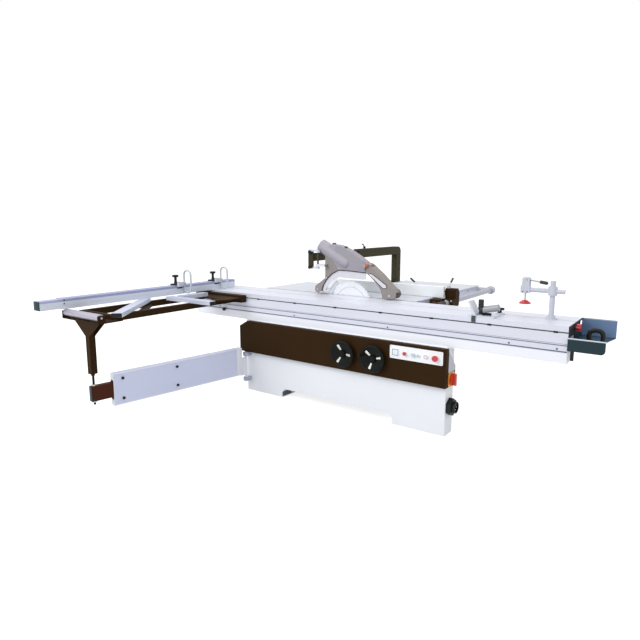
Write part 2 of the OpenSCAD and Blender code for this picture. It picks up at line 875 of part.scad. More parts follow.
module stop_knob(y) {
    difference() {
        union() {
            rod_z(fence_mid, y, 11, fence_top + 30 + slip, fence_top + 75);
            along_z(fence_top + 70, fence_top + 88) translate([fence_mid, y]) {
                circle(22);
                for (a = [0 : 72 : 288]) rotate(a) translate([20, 0]) circle(7);
            }
        }
        rod_z(fence_mid, y, 6 + run, fence_top + 30 - cut, fence_top + 61);
    }
}

module stop_1_slider() color(silver) {
    stop_slider(stop_1_y);
}

module stop_1_paddle() color(silver) {
    stop_paddle(stop_1_y);
}

module stop_1_knob() color(black) {
    stop_knob(stop_1_y);
}

module stop_2_slider() color(silver) {
    stop_slider(stop_2_y);
}

module stop_2_paddle() color(silver) {
    stop_paddle(stop_2_y);
}

module stop_2_knob() color(black) {
    stop_knob(stop_2_y);
}

module clamp_post() color(white) {
    rod_z(clamp_x, slot_y, 36, table_h, table_h + 8);
    rod_z(clamp_x, slot_y, 24, table_h + 8, table_h + 22);
    rod_z(clamp_x, slot_y, clamp_post_r, table_h + 22, table_h + 240);
}

module clamp_arm() color(white) {
    head = 16;
    cheek = 6;
    hub_r = clamp_post_r + 11;
    difference() {
        union() {
            rod_z(clamp_x, slot_y, hub_r, clamp_z - 26, clamp_z + 28);
            rod_x(slot_y, clamp_z, 14, ram_x, clamp_x + 71);
            along_y(slot_y - head, slot_y + head)
                round_rect(ram_x - 28, ram_x + 28, clamp_z - 23, clamp_z + 29, 8);
            for (y = [slot_y - head, slot_y + head - cheek])
                along_y(y, y + cheek) round_rect(ram_x - 20, ram_x + 26, clamp_z + 10, lever_z + 14, 12);
        }
        rod_z(clamp_x, slot_y, clamp_post_r + run, clamp_z - 40, clamp_z + 40);
        rod_z(ram_x, slot_y, ram_r + run, clamp_z - 40, clamp_z + 40);
        rod_y(lever_x, lever_z, 5 + run, slot_y - 20, slot_y + 20);
    }
}

module clamp_lever() color(black) {
    rod_y(lever_x, lever_z, 5, slot_y - 18, slot_y + 18);
    rod_y(lever_x, lever_z, 11, slot_y - 8, slot_y + 8);
    translate([lever_x, slot_y, lever_z]) rotate([0, 98, 0]) {
        cylinder(r = 5, h = 92);
        translate([0, 0, 80]) cylinder(r = 11, h = 38);
        translate([0, 0, 118]) sphere(11);
    }
}

module clamp_ram() color(red) {
    foot_z = table_h + 85;
    rod_z(ram_x, slot_y, ram_r, foot_z + 10, clamp_z + 42);
    rod_z(ram_x, slot_y, 36, foot_z, foot_z + 6);
    translate([ram_x, slot_y, foot_z + 6]) cylinder(r1 = 36, r2 = 14, h = 16);
}

// Edging shoe: a slanted nose plate on a sliding foot, with its grip and a tab over the carriage's edge
module edge_shoe() color(silver) {
    z0 = table_h + slip;
    foot = 9;
    y0 = y_front + 5;
    y1 = y_front + 95;
    tab_x = shoe_x - 112;
    tab_w = 26;
    tab_y = y_front - slip;
    tab_t = 5;
    difference() {
        union() {
            box(tab_x, tab_x + tab_w, tab_y - tab_t, tab_y, table_h - 32, z0 + foot);
            box(tab_x, tab_x + tab_w, tab_y - tab_t, y0 + 6, z0, z0 + foot);
            along_z(z0, z0 + foot) {
                round_rect(shoe_x - 136, shoe_x + 28, y0, y1, 6);
                round_rect(shoe_x - 22, shoe_x + 28, y0, slot_y + 22, 6);
            }
            along_y(y0, y1) polygon([[shoe_x - 96, z0 + 2], [shoe_x - 82, z0 + 2], [shoe_x - 133, z0 + 98],
                [shoe_x - 145, z0 + 98]]);
            rod_z(shoe_x - 69, y0 + 40, 12, z0 + foot, z0 + 50);
            rod_z(shoe_x - 69, y0 + 40, 17, z0 + 45, z0 + 110);
            translate([shoe_x - 69, y0 + 40, z0 + 42]) rotate([0, 78, 0]) cylinder(r = 22, h = 118);
        }
        rod_z(shoe_x, slot_y, shoe_stud_r + run, z0 - cut, z0 + foot + cut);
    }
}

module shoe_knob() color(black) {
    z0 = table_h + slip + 9;
    rod_z(shoe_x, slot_y, shoe_stud_r, table_h - 15, z0 + 12);
    rod_z(shoe_x, slot_y, 10, table_h - 20, table_h - 12 - slip);
    rod_z(shoe_x, slot_y, 13, z0 + slip, z0 + 24);
    along_z(z0 + 20, z0 + 34) round_rect(shoe_x - 30, shoe_x + 30, slot_y - 8, slot_y + 8, 7.9);
}

// The swing arm is drawn along -Y from its hinge, then turned to point at the support post
module at_arm() {
    translate([arm_x, arm_y, 0]) rotate(arm_turn) children();
}

module swing_arm() color(white) {
    half = arm_w / 2;
    wall = 4;
    near = 60;
    sleeve_r = hinge_r + 5;
    bolt_r = 7.7;
    difference() {
        union() {
            rod_z(arm_x, arm_y, sleeve_r, 125.5, 314.5);
            at_arm() {
                box(-12, 12, -near - wall, 0, arm_z - 10, arm_z + 140);
                difference() {
                    box(-half, half, -arm_len, -near, arm_z, arm_z + arm_h);
                    box(-half + wall, half - wall, -arm_len - cut, -near - wall, arm_z + wall,
                        arm_z + arm_h - wall);
                }
                for (r = [arm_len - 66, arm_len - 500], z = [guide_low, guide_high])
                    translate([-half, -r, z]) rotate([0, 90, 0]) {
                        translate([0, 0, -8]) cylinder(r = bolt_r, h = arm_w + 16);
                        translate([0, 0, wall / 2]) cylinder(r = guide_roll - slip, h = arm_w - wall);
                    }
            }
        }
        rod_z(arm_x, arm_y, hinge_r + run, 120, 320);
    }
}

module inner_arm() color(brown) {
    half = arm_w / 2 - 4 - slip;
    z0 = guide_low + guide_roll;
    z1 = guide_high - guide_roll;
    inner = 930;
    nut_t = 10;
    at_arm() {
        difference() {
            box(-half, half, -post_reach - 22, -post_reach + inner, z0, z1);
            box(-half + 5, half - 5, -post_reach + 20, -post_reach + inner + cut, z0 + 5, z1 - 5);
        }
        rod_z(0, -post_reach, 8, z0 - 26, post_low - 1.5);
        for (z = [z0 - nut_t, z1, post_low - 14]) rod_z(0, -post_reach, 13, z, z + nut_t);
    }
}

// Saw unit: the sectors ride in the trunnions, the end plates carry the lift rods
module tilt_plate(x0, x1) {
    along_x(x0, x1) round_rect(5, 180, unit_low, table_h - 30, 10);
}

module tilt_frame() color(steel) {
    right_face = right_plate + plate_w;
    arm_y0 = 115;
    arm_y1 = 145;
    lug = 28;
    difference() {
        union() {
            for (x = [left_plate - sector_t, right_face]) along_x(x, x + sector_t)
                translate([0, table_h]) ring_sector(60, sector_r, -110, -15);
            tilt_plate(left_plate, left_plate + plate_w);
            tilt_plate(right_plate, right_face);
            box(left_plate + plate_w, right_plate, rod_y_pos - 15, rod_y_pos + 15, unit_low, unit_low + 25);
            box(left_plate + plate_w, rod_left + 20, rod_y_pos - 20, rod_y_pos + 20, table_h - 55, table_h - 32);
            box(rod_right - 20, right_plate, rod_y_pos - 20, rod_y_pos + 20, table_h - 55, table_h - 32);
            box(scoring_x - lug, right_plate, arm_y0, arm_y1, scoring_z - 18, scoring_z + 17);
            rod_y(scoring_x, scoring_z, 26, 12, arm_y1);
            for (x = [rod_left, rod_right]) rod_z(x, rod_y_pos, lift_rod_r, unit_low, table_h - 33);
        }
        rod_y(scoring_x, scoring_z, spindle_r + run, 10, arm_y1 + cut);
    }
}

module lift_slide() color(steel) {
    z0 = arbor_z - 105;
    z1 = arbor_z - 25;
    half = 20;
    boss = 28;
    bracket_y = 215;
    knife_x = blade_x - 219;
    difference() {
        union() {
            box(rod_left, rod_right, rod_y_pos - half, rod_y_pos + half, z0, z1);
            for (x = [rod_left, rod_right]) rod_z(x, rod_y_pos, boss, z0, z1);
            rod_y(blade_x, arbor_z, 45, 14, bracket_y);
            box(motor_x - 95, motor_x + 95, rod_y_pos, bracket_y + 8, z0 + 20, z0 + 40);
            along_y(bracket_y, bracket_y + 8)
                round_rect(motor_x - 95, motor_x + 95, motor_z - 90, z0 + 40, 12);
            box(knife_x - 16, knife_x + 16, 1.5, rod_y_pos, z0 + 10, z0 + 40);
        }
        for (x = [rod_left, rod_right]) rod_z(x, rod_y_pos, lift_rod_r + run, z0 - cut, z1 + cut);
        rod_y(blade_x, arbor_z, arbor_r + run, 14 - cut, bracket_y + cut);
        rod_y(motor_x, motor_z, 20, bracket_y - cut, bracket_y + 8 + cut);
    }
}

module motor() color(grey) {
    y0 = 15;
    y1 = 215;
    fins = 24;
    difference() {
        union() {
            rod_y(motor_x, motor_z, motor_r - 8, y0, y1);
            along_y(y0 + 50, y1 - 25) translate([motor_x, motor_z])
                for (i = [0 : fins - 1]) rotate(i * 360 / fins) rect(motor_r - 12, motor_r, -2, 2);
            rod_y(motor_x, motor_z, motor_r, y0, y0 + 45);
            rod_y(motor_x, motor_z, motor_r, y1 - 22, y1);
        }
        rod_y(motor_x, motor_z, 12 + run, y1 - 30, y1 + cut);
    }
}

module pulley(x, z, r) {
    rod_y(x, z, r, belt_y, belt_y + belt_w);
}

module motor_pulley() color(steel) {
    pulley(motor_x, motor_z, motor_pulley_r);
    rod_y(motor_x, motor_z, 12, belt_y - 40, belt_y);
}

// A loop round two pulleys: two circles joined by their outer tangents
module belt_outline(grow) {
    a = [blade_x, arbor_z];
    b = [motor_x, motor_z];
    ra = arbor_pulley_r + grow;
    rb = motor_pulley_r + grow;
    d = b - a;
    lead = atan2(d[1], d[0]);
    open = acos((ra - rb) / norm(d));
    p = [cos(lead + open), sin(lead + open)];
    q = [cos(lead - open), sin(lead - open)];
    translate(a) circle(ra);
    translate(b) circle(rb);
    polygon([a + ra * p, b + rb * p, b + rb * q, a + ra * q]);
}

module drive_belt() color(black) {
    along_y(belt_y + 3, belt_y + belt_w - 3) difference() {
        belt_outline(6);
        belt_outline(0.4);
    }
}

module arbor() color(steel) {
    face = blade_t / 2;
    rod_y(blade_x, arbor_z, arbor_r, -face - 6, belt_y);
    rod_y(blade_x, arbor_z, 40, face, 13);
    rod_y(blade_x, arbor_z, 40, -face - 6, -face);
    translate([blade_x, -face - 6, arbor_z]) rotate([90, 0, 0]) cylinder(r = 20, h = 17, $fn = 6);
    pulley(blade_x, arbor_z, arbor_pulley_r);
}

// One tooth leans into the cut: a rising back, a tip and a round-bottomed gullet
function tooth(i, pitch) = let (a = i * pitch, low = blade_r - 11) [
    blade_r * [cos(a), sin(a)],
    (blade_r - 2) * [cos(a + 0.35 * pitch), sin(a + 0.35 * pitch)],
    (blade_r - 7) * [cos(a + 0.55 * pitch), sin(a + 0.55 * pitch)],
    low * [cos(a + 0.75 * pitch), sin(a + 0.75 * pitch)],
    (blade_r - 9) * [cos(a + 0.95 * pitch), sin(a + 0.95 * pitch)]];

module saw_blade() color(silver) {
    pitch = 360 / blade_teeth;
    slits = 5;
    along_y(-blade_t / 2, blade_t / 2) translate([blade_x, arbor_z]) difference() {
        polygon([for (i = [0 : blade_teeth - 1]) each tooth(i, pitch)]);
        circle(arbor_r + 0.02);
        for (i = [0 : slits - 1]) rotate(i * 360 / slits + 0.7 * pitch) {
            translate([blade_r - 45, 0]) circle(4.5);
            rect(blade_r - 45, blade_r + cut, -1, 1);
        }
    }
}

module riving_knife() color(steel) {
    r0 = blade_r + 5;
    along_y(-1.5, 1.5) translate([blade_x, arbor_z]) ring_sector(r0, r0 + 35, 125, 205);
}

module scoring_blade() color(silver) {
    half = 1.6;
    teeth = 24;
    r = scoring_d / 2;
    along_y(-half, half) translate([scoring_x, scoring_z])
        polygon([for (i = [0 : teeth - 1], k = [0, 1])
            (k == 0 ? r : r - 5) * [cos((i + 0.7 * k) * 360 / teeth), sin((i + 0.7 * k) * 360 / teeth)]]);
    rod_y(scoring_x, scoring_z, 22, half, 10);
    rod_y(scoring_x, scoring_z, 22, -half - 6, -half);
    rod_y(scoring_x, scoring_z, spindle_r, 0, 152);
}

module scoring_motor() color(grey) {
    difference() {
        rod_y(scoring_x, scoring_z, 36, 145, 300);
        rod_y(scoring_x, scoring_z, spindle_r + run, 145 - cut, 155);
    }
}

// Dished handwheel on its shaft, with a crank grip where asked
module handwheel(x, grip) {
    r = wheel_d / 2;
    hub = 24;
    rim = 10;
    back = fascia_y - 5;
    translate([x, back, wheel_z]) rotate([90, 0, 0]) {
        rotate_extrude() {
            polygon([[0, 0], [hub, 0], [hub + 6, 8], [r - 22, 22], [r - rim, 22], [r - rim, 32],
                [r - 24, 32], [hub + 4, 18], [hub - 2, 30], [0, 30]]);
            translate([r - rim, 27]) circle(rim);
        }
        if (grip) rotate(155) translate([r - 26, 0, 26]) {
            cylinder(r = 7, h = 10);
            translate([0, 0, 8]) cylinder(r = 12, h = 62);
            translate([0, 0, 70]) sphere(12);
        }
    }
    rod_y(x, wheel_z, shaft_r, back, stand_y + 20);
}

module handwheel_tilt() color(black) {
    handwheel(wheel_tilt_x, false);
}

module handwheel_lift() color(black) {
    handwheel(wheel_lift_x, true);
}

// Overhead guard: the boom slides in the post's tube, the hood rides on the guide rod at its tip
module guard_boom() color(brown) {
    x0 = boom_x - boom_w / 2;
    x1 = boom_x + boom_w / 2;
    z0 = boom_z - boom_h / 2;
    z1 = boom_z + boom_h / 2;
    tip = 16;
    bar_low = boom_z - 95;
    bar_high = boom_z + 50;
    bar_t = 15;
    difference() {
        box(x0, x1, boom_tip, table_back + 300, z0, z1);
        box(x0 + 5, x1 - 5, boom_tip + 5, table_back + 301, z0 + 5, z1 - 5);
    }
    box(x0, x1, boom_tip - tip, boom_tip, bar_low, bar_high + bar_t);
    for (z = [bar_low, bar_high])
        box(x0, guide_x + 12, guide_y - 10, guide_y + 10, z, z + bar_t);
    rod_z(guide_x, guide_y, guide_r, bar_low, bar_high + bar_t);
}

// The hood's cavity: its roof moved in by the wall, left open along the lower edge
function hood_inset(p) = hood_wall * (p[0] < -250 ? [1, -1] : p[0] < 50 ? [-0.5, -1] : [-1, -1]);
hood_cavity = concat([for (p = hood_roof) p + hood_inset(p)], [[49, 100], [-300, 20], [-430, -5]]);

module nozzle(r, from, to) {
    mouth = [-415, table_h + 407];
    lean = 62.3;
    translate([mouth[0], 0, mouth[1]]) rotate([0, 180 - lean, 0]) translate([0, 0, from])
        cylinder(r = r, h = to - from);
}

module guard_hood() color(grey) {
    lug_low = boom_z - 75;
    nozzle_len = 300;
    difference() {
        union() {
            along_y(-hood_half, hood_half) translate([0, table_h]) polygon(concat(hood_roof, hood_edge));
            nozzle(nozzle_r, 0, nozzle_len);
            box(guide_x - 16, guide_x + 80, guide_y - 14, -hood_half + hood_wall, lug_low, lug_low + 20);
            rod_y(hood_hinge[0], hood_hinge[1], hinge_pin_r, -hood_half - 12, hood_half + 12);
            rod_y(hood_hinge[0], hood_hinge[1], 16, -hood_half - 30, -hood_half - 8);
        }
        along_y(-hood_half + hood_wall, hood_half - hood_wall) translate([0, table_h]) polygon(hood_cavity);
        nozzle(nozzle_r - hood_wall, -cut, nozzle_len - 40);
        rod_z(guide_x, guide_y, guide_r + run, lug_low - cut, lug_low + 21);
    }
}

// Front flap of the guard: two cheeks on the hinge pin, a web along the outer edge and two runners
module guard_flap() color(grey) {
    z = table_h;
    near = hood_half + 1;
    cheek = 5;
    run_r = 14;
    end = [288, 46];
    difference() {
        union() {
            for (y = [-near - cheek, near]) along_y(y, y + cheek) translate([0, z]) difference() {
                union() {
                    polygon([[26, 232], [30, 268], [56, 278], [86, 262], [175, 194], [242, 131], [296, 82],
                        end, [end[0], 8], [205, 8], [203, 20], [191, 70], [149, 125], [93, 174], [59, 197],
                        [40, 215]]);
                    translate(end) circle(end[1] - 8);
                }
                polygon([[84, 202], [237, 92], [210, 92], [98, 185]]);
            }
            along_y(-near - cut, near + cut) translate([0, z]) polygon([[96, 254], [175, 194], [242, 131],
                [296, 82], [318, 60], [314, 56], [292, 78], [238, 127], [171, 190], [96, 247]]);
            for (x = [231, 276]) {
                rod_y(x, z + 20, 5, -near - 2, near + 2);
                rod_y(x, z + 18, run_r, -near + 6, near - 6);
            }
        }
        rod_y(hood_hinge[0], hood_hinge[1], hinge_pin_r + run, -near - 20, near + 20);
    }
}

// Rip fence: a carrier on the round rail, with a clamp arm along the back of the fence
module rip_carrier() color(brown) {
    y1 = carrier_y + carrier_len;
    back = rip_y + rip_t;
    low_z = bar_z - 41;
    tongue_z = rip_z + 48;
    x1 = bar_x + rail_r + 28;
    difference() {
        union() {
            along_x(rip_x1, x1) polygon([[carrier_y, low_z + 20], [carrier_y + 20, low_z], [y1 - 20, low_z],
                [y1, low_z + 20], [y1, block_top - 31], [y1 - 25, block_top], [back + 14, block_top],
                [back + 4, block_top - 10], [back + 4, rip_z - 6], [carrier_y, rip_z - 6]]);
            box(table_right + 12, rip_x1 + 10, carrier_y - 60, carrier_y + 40, bar_z - 11, rip_z - 8);
            along_x(clamp_arm_x, rip_x1) round_rect(back + 4, back + 50, rip_z + 12, arm_top, 8);
            box(clamp_arm_x, rip_x1, back - 11, back + 6, tongue_z - 4.5, tongue_z + 4.5);
        }
        rod_y(bar_x, bar_z, rail_r + run, carrier_y - cut, y1 + cut);
        rod_z(lock_x, lock_y, 6 + run, block_top - 26, block_top + cut);
        rod_z(fence_lock_x, fence_lock_y, 6 + run, arm_top - 26, arm_top + cut);
    }
}

module rip_fence() color(silver) {
    x0 = rip_x1 - rip_len;
    back = rip_y + rip_t;
    mid = rip_z + 48;
    along_x(x0, rip_x1) difference() {
        round_rect(rip_y, back, rip_z, rip_z + rip_h, 3);
        rect(rip_y + web, back - 18, rip_z + web, mid - 20);
        rect(rip_y + web, back - 18, mid + 20, rip_z + rip_h - web);
        rect(back - 14, back + cut, mid - 5, mid + 5);
        rect(back - 14, back - 6, mid - 9, mid + 9);
        rect(rip_y + web, back - 22, mid - 14, mid + 14);
    }
}

// Clamp lever: a stud in its bore and an arm that leans up to a grip
module clamp_handle(x, y, z, turn) {
    grip = [52, 96];
    grip_r = 8;
    rod_z(x, y, 6, z - 24, z + 6);
    rod_z(x, y, 13, z + slip, z + 20);
    translate([x, y, z + 12]) rotate([0, 52, turn]) {
        cylinder(r = 4.5, h = 60);
        translate([0, 0, grip[0]]) cylinder(r = grip_r, h = grip[1] - grip[0]);
        translate([0, 0, grip[1]]) sphere(grip_r);
    }
}

module rip_lock_lever() color(black) {
    clamp_handle(lock_x, lock_y, block_top, 90);
}

module fence_clamp_lever() color(black) {
    clamp_handle(fence_lock_x, fence_lock_y, arm_top, 180);
}

base_frame();
fascia_panel();
control_plate();
emergency_stop();
stop_button();
start_button();
main_switch();
inlet_box();
table_main();
table_extension();
edge_scale();
rail_bar();
rail_brackets();
carriage_beam();
end_tray();
guard_post();
trunnions();
carriage_profile();
carriage_end_caps();
push_handle();
carriage_lock_knob();
roller_cage();
outrigger_frame();
outrigger_slats();
outrigger_roller();
fence_profile();
fence_extension();
stop_1_slider();
stop_1_paddle();
stop_1_knob();
stop_2_slider();
stop_2_paddle();
stop_2_knob();
clamp_post();
clamp_arm();
clamp_lever();
clamp_ram();
edge_shoe();
shoe_knob();
swing_arm();
inner_arm();
tilt_frame();
lift_slide();
motor();
motor_pulley();
drive_belt();
arbor();
saw_blade();
riving_knife();
scoring_blade();
scoring_motor();
handwheel_tilt();
handwheel_lift();
guard_boom();
guard_hood();
guard_flap();
rip_carrier();
rip_fence();
rip_lock_lever();
fence_clamp_lever();
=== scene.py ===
"""Looks of the sliding table saw: finishes for its solids, small fittings, studio light and camera.

Lengths are written in millimetres in the part's own frame: X along the carriage's travel, Y away from
the operator's side, Z up from the floor. They become metres when a mesh is finished.
"""

import logging
import math
from dataclasses import dataclass
from enum import Enum
from typing import Optional, Sequence

import bmesh
import bpy
from mathutils import Matrix, Vector

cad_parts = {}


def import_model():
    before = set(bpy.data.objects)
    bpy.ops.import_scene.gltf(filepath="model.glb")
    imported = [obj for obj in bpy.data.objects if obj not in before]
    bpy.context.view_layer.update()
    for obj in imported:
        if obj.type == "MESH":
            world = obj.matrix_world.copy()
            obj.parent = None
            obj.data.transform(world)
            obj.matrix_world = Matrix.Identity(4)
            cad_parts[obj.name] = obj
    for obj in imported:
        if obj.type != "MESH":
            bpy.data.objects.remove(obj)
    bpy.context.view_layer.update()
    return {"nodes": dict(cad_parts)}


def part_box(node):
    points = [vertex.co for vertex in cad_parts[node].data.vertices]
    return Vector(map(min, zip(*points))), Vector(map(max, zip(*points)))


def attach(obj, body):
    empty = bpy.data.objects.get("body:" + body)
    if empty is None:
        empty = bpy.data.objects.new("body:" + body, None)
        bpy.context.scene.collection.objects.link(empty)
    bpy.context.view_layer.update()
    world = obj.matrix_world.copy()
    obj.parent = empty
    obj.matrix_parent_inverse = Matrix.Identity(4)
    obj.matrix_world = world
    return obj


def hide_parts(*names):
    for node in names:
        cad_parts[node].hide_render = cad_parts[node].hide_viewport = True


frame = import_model()
LOG = logging.getLogger("saw")
MM = 0.001
Point = Sequence[float]
Pair = tuple[float, float]
Outline = Sequence[Pair]
Box = tuple[Point, Point]
Plane = tuple[float, float, float, float]
Colour = tuple[float, float, float, float]

# Edges sharper than this stay sharp under smooth shading.
SHARP_DEG = 35.0
# A rounded edge takes at most this share of a box's least side.
EDGE_SHARE = 0.45
# The middle of a turned shape stays a ring this small, so that its cap closes.
POLE_R = 0.01
# Sockets of the mix node when it mixes colours; their names are not unique.
MIX_FACTOR, MIX_UNDER, MIX_OVER, MIX_RESULT = 0, 6, 7, 2


class Axis(Enum):
    """Direction that a grain, a row or a turned shape follows."""

    X = 0
    Y = 1
    Z = 2

    @property
    def unit(self) -> Vector:
        """Unit vector along the axis."""
        return Vector([1.0 if i == self.value else 0.0 for i in range(3)])

    @property
    def across(self) -> tuple[Vector, Vector]:
        """Unit vectors along the two axes that follow this one."""
        return Axis((self.value + 1) % 3).unit, Axis((self.value + 2) % 3).unit

    def lay(self, outline: Outline, level: float) -> list[Vector]:
        """Lay a flat outline square to the axis.

        Args:
            outline: Points in the plane of the two axes that follow this one.
            level: Place of the plane on this axis.

        Returns:
            The points in space.
        """
        first, second = self.across
        return [self.unit * level + first * a + second * b for a, b in outline]


class Slot(Enum):
    """Material slots of the record, given to new pieces; no piece takes its finish from them."""

    WHITE = "white_enamel"
    STEEL = "machined_steel"
    GREY = "grey_plastic"
    BLACK = "black_plastic"
    RED = "red_plastic"
    PALE = "pale_plastic"


def linear(code: str) -> Colour:
    """Turn an sRGB hex colour into linear values.

    Args:
        code: Colour as "#rrggbb".

    Returns:
        Linear red, green, blue and an alpha of one.
    """
    parts = [int(code[i:i + 2], 16) / 255.0 for i in (1, 3, 5)]
    lin = [c / 12.92 if c <= 0.04045 else ((c + 0.055) / 1.055) ** 2.4 for c in parts]
    return (lin[0], lin[1], lin[2], 1.0)


def per_metre(size_mm: float) -> float:
    """Texture scale whose features are about the given size in millimetres."""
    return 1.0 / (size_mm * MM)


def add(tree: bpy.types.NodeTree, kind: str, inputs: Optional[dict] = None,
        **settings: object) -> bpy.types.Node:
    """Add a node with its settings, constants and links.

    Args:
        tree: Tree that gets the node.
        kind: Blender's name of the node type.
        inputs: Input name or number to a constant, or to the output socket it is linked to.
        settings: Attributes to set on the node.

    Returns:
        The new node.
    """
    node = tree.nodes.new(kind)
    for key, value in settings.items():
        setattr(node, key, value)
    for key, value in (inputs or {}).items():
        if isinstance(value, bpy.types.NodeSocket):
            tree.links.new(value, node.inputs[key])
        else:
            node.inputs[key].default_value = value
    return node


def left_of(x: float) -> Plane:
    """Normal and distance of the plane that points of smaller X lie beyond."""
    return (-1.0, 0.0, 0.0, -x)


def right_of(x: float) -> Plane:
    """Normal and distance of the plane that points of larger X lie beyond."""
    return (1.0, 0.0, 0.0, x)


def before(y: float) -> Plane:
    """Normal and distance of the plane that points nearer to the operator's side lie beyond."""
    return (0.0, -1.0, 0.0, -y)


def behind(y: float) -> Plane:
    """Normal and distance of the plane that points further from the operator's side lie beyond."""
    return (0.0, 1.0, 0.0, y)


def below(z: float) -> Plane:
    """Normal and distance of the plane that lower points lie beyond."""
    return (0.0, 0.0, -1.0, -z)


def above(z: float) -> Plane:
    """Normal and distance of the plane that higher points lie beyond."""
    return (0.0, 0.0, 1.0, z)


@dataclass(frozen=True)
class Zone:
    """Part of a solid in another colour: the points beyond every plane."""

    colour: str
    planes: tuple[Plane, ...]


def zone(colour: str, *planes: Plane) -> Zone:
    """Zone of a hex colour beyond all the given planes."""
    return Zone(colour, planes)


@dataclass
class Surface:
    """Tree of a material in the making, its Principled shader and the Object coordinates."""

    tree: bpy.types.NodeTree
    shader: bpy.types.Node
    place: bpy.types.NodeSocket

    def tint(self, factor: bpy.types.NodeSocket, colour: str, under: Optional[str] = None) -> None:
        """Lay a colour over the base colour by a factor.

        Args:
            factor: One where the colour shows, zero where it doesn't.
            colour: Hex colour to lay on.
            under: Hex colour below it, or none for what the shader already has.
        """
        base = self.shader.inputs["Base Color"]
        lower = linear(under) if under else base.links[0].from_socket
        mix = add(self.tree, "ShaderNodeMix", {
            MIX_FACTOR: factor, MIX_UNDER: lower, MIX_OVER: linear(colour)}, data_type="RGBA")
        self.tree.links.new(mix.outputs[MIX_RESULT], base)

    def paint(self, area: Zone) -> None:
        """Lay a zone's colour over the base colour.

        Args:
            area: Zone to paint.
        """
        inside = None
        for *normal, away in area.planes:
            along = add(self.tree, "ShaderNodeVectorMath", {0: self.place, 1: normal},
                        operation="DOT_PRODUCT")
            beyond = add(self.tree, "ShaderNodeMath", {0: along.outputs["Value"], 1: away * MM},
                         operation="GREATER_THAN")
            if inside is not None:
                beyond = add(self.tree, "ShaderNodeMath", {0: inside, 1: beyond.outputs["Value"]},
                             operation="MULTIPLY")
            inside = beyond.outputs["Value"]
        self.tint(inside, area.colour)

    def bump(self, height: bpy.types.NodeSocket, depth_mm: float, strength: float) -> None:
        """Give the shader a bump from a height.

        Args:
            height: Height between zero and one.
            depth_mm: Depth of a full step.
            strength: Share of the bump that shows.
        """
        made = add(self.tree, "ShaderNodeBump", {
            "Strength": strength, "Distance": depth_mm * MM, "Height": height})
        self.tree.links.new(made.outputs["Normal"], self.shader.inputs["Normal"])

    def vary_roughness(self, factor: bpy.types.NodeSocket, middle: float, spread: float) -> None:
        """Spread the roughness evenly about a value.

        Args:
            factor: Pattern between zero and one.
            middle: Roughness at its middle.
            spread: Distance from the middle to each end.
        """
        span = add(self.tree, "ShaderNodeMapRange", {
            "Value": factor, "To Min": middle - spread, "To Max": middle + spread})
        self.tree.links.new(span.outputs["Result"], self.shader.inputs["Roughness"])


@dataclass(frozen=True)
class Finish:
    """Plain surface whose tone drifts slowly between two close colours."""

    name: str
    colour: str
    shade: str
    roughness: float = 0.5
    drift_mm: float = 350.0
    metallic: float = 0.0
    coat: float = 0.0
    specular: float = 0.5
    zones: tuple[Zone, ...] = ()

    def material(self) -> bpy.types.Material:
        """Material of this finish, made on its first use.

        Returns:
            The finish's material.
        """
        made = bpy.data.materials.get(self.name)
        if made is not None:
            return made
        made = bpy.data.materials.new(self.name)
        made.use_nodes = True
        made.diffuse_color = linear(self.colour)
        tree = made.node_tree
        tree.nodes.clear()
        place = add(tree, "ShaderNodeTexCoord").outputs["Object"]
        shader = add(tree, "ShaderNodeBsdfPrincipled", {
            "Roughness": self.roughness, "Metallic": self.metallic, "Coat Weight": self.coat,
            "Specular IOR Level": self.specular})
        surface = Surface(tree, shader, place)
        self.dress(surface)
        for area in self.zones:
            surface.paint(area)
        add(tree, "ShaderNodeOutputMaterial", {"Surface": shader.outputs["BSDF"]})
        return made

    def dress(self, on: Surface) -> None:
        """Drift the colour over the piece.

        Args:
            on: Surface to dress.
        """
        drift = add(on.tree, "ShaderNodeTexNoise", {
            "Vector": on.place, "Scale": per_metre(self.drift_mm), "Detail": 3.0})
        on.tint(drift.outputs["Fac"], self.shade, self.colour)


@dataclass(frozen=True)
class Enamel(Finish):
    """Powder-coated sheet: soft gloss over a fine orange peel."""

    peel_mm: float = 9.0
    peel_depth_mm: float = 0.25
    peel_strength: float = 0.25
    spread: float = 0.06

    def dress(self, on: Surface) -> None:
        """Drift the colour and raise the peel.

        Args:
            on: Surface to dress.
        """
        super().dress(on)
        # Real peel is about 2 mm across, drawn coarser so that it still breaks up the gloss in the render.
        peel = add(on.tree, "ShaderNodeTexNoise", {
            "Vector": on.place, "Scale": per_metre(self.peel_mm), "Detail": 2.0}).outputs["Fac"]
        on.bump(peel, self.peel_depth_mm, self.peel_strength)
        on.vary_roughness(peel, self.roughness, self.spread)


@dataclass(frozen=True)
class Drawn(Finish):
    """Extruded or planed metal with faint lines along its run."""

    run: Axis = Axis.X
    line_mm: float = 4.0
    length_mm: float = 900.0
    line_depth_mm: float = 0.08
    line_strength: float = 0.3
    spread: float = 0.10

    def dress(self, on: Surface) -> None:
        """Draw lines that are long along the run and narrow across it.

        Args:
            on: Surface to dress.
        """
        scale = [per_metre(self.line_mm)] * 3
        scale[self.run.value] = per_metre(self.length_mm)
        # Die lines are well under a millimetre, drawn a few millimetres wide so that they show.
        mapping = add(on.tree, "ShaderNodeMapping", {"Vector": on.place, "Scale": scale})
        lines = add(on.tree, "ShaderNodeTexNoise", {
            "Vector": mapping.outputs["Vector"], "Scale": 1.0, "Detail": 4.0,
            "Roughness": 0.6}).outputs["Fac"]
        on.tint(lines, self.shade, self.colour)
        on.vary_roughness(lines, self.roughness, self.spread)
        on.bump(lines, self.line_depth_mm, self.line_strength)


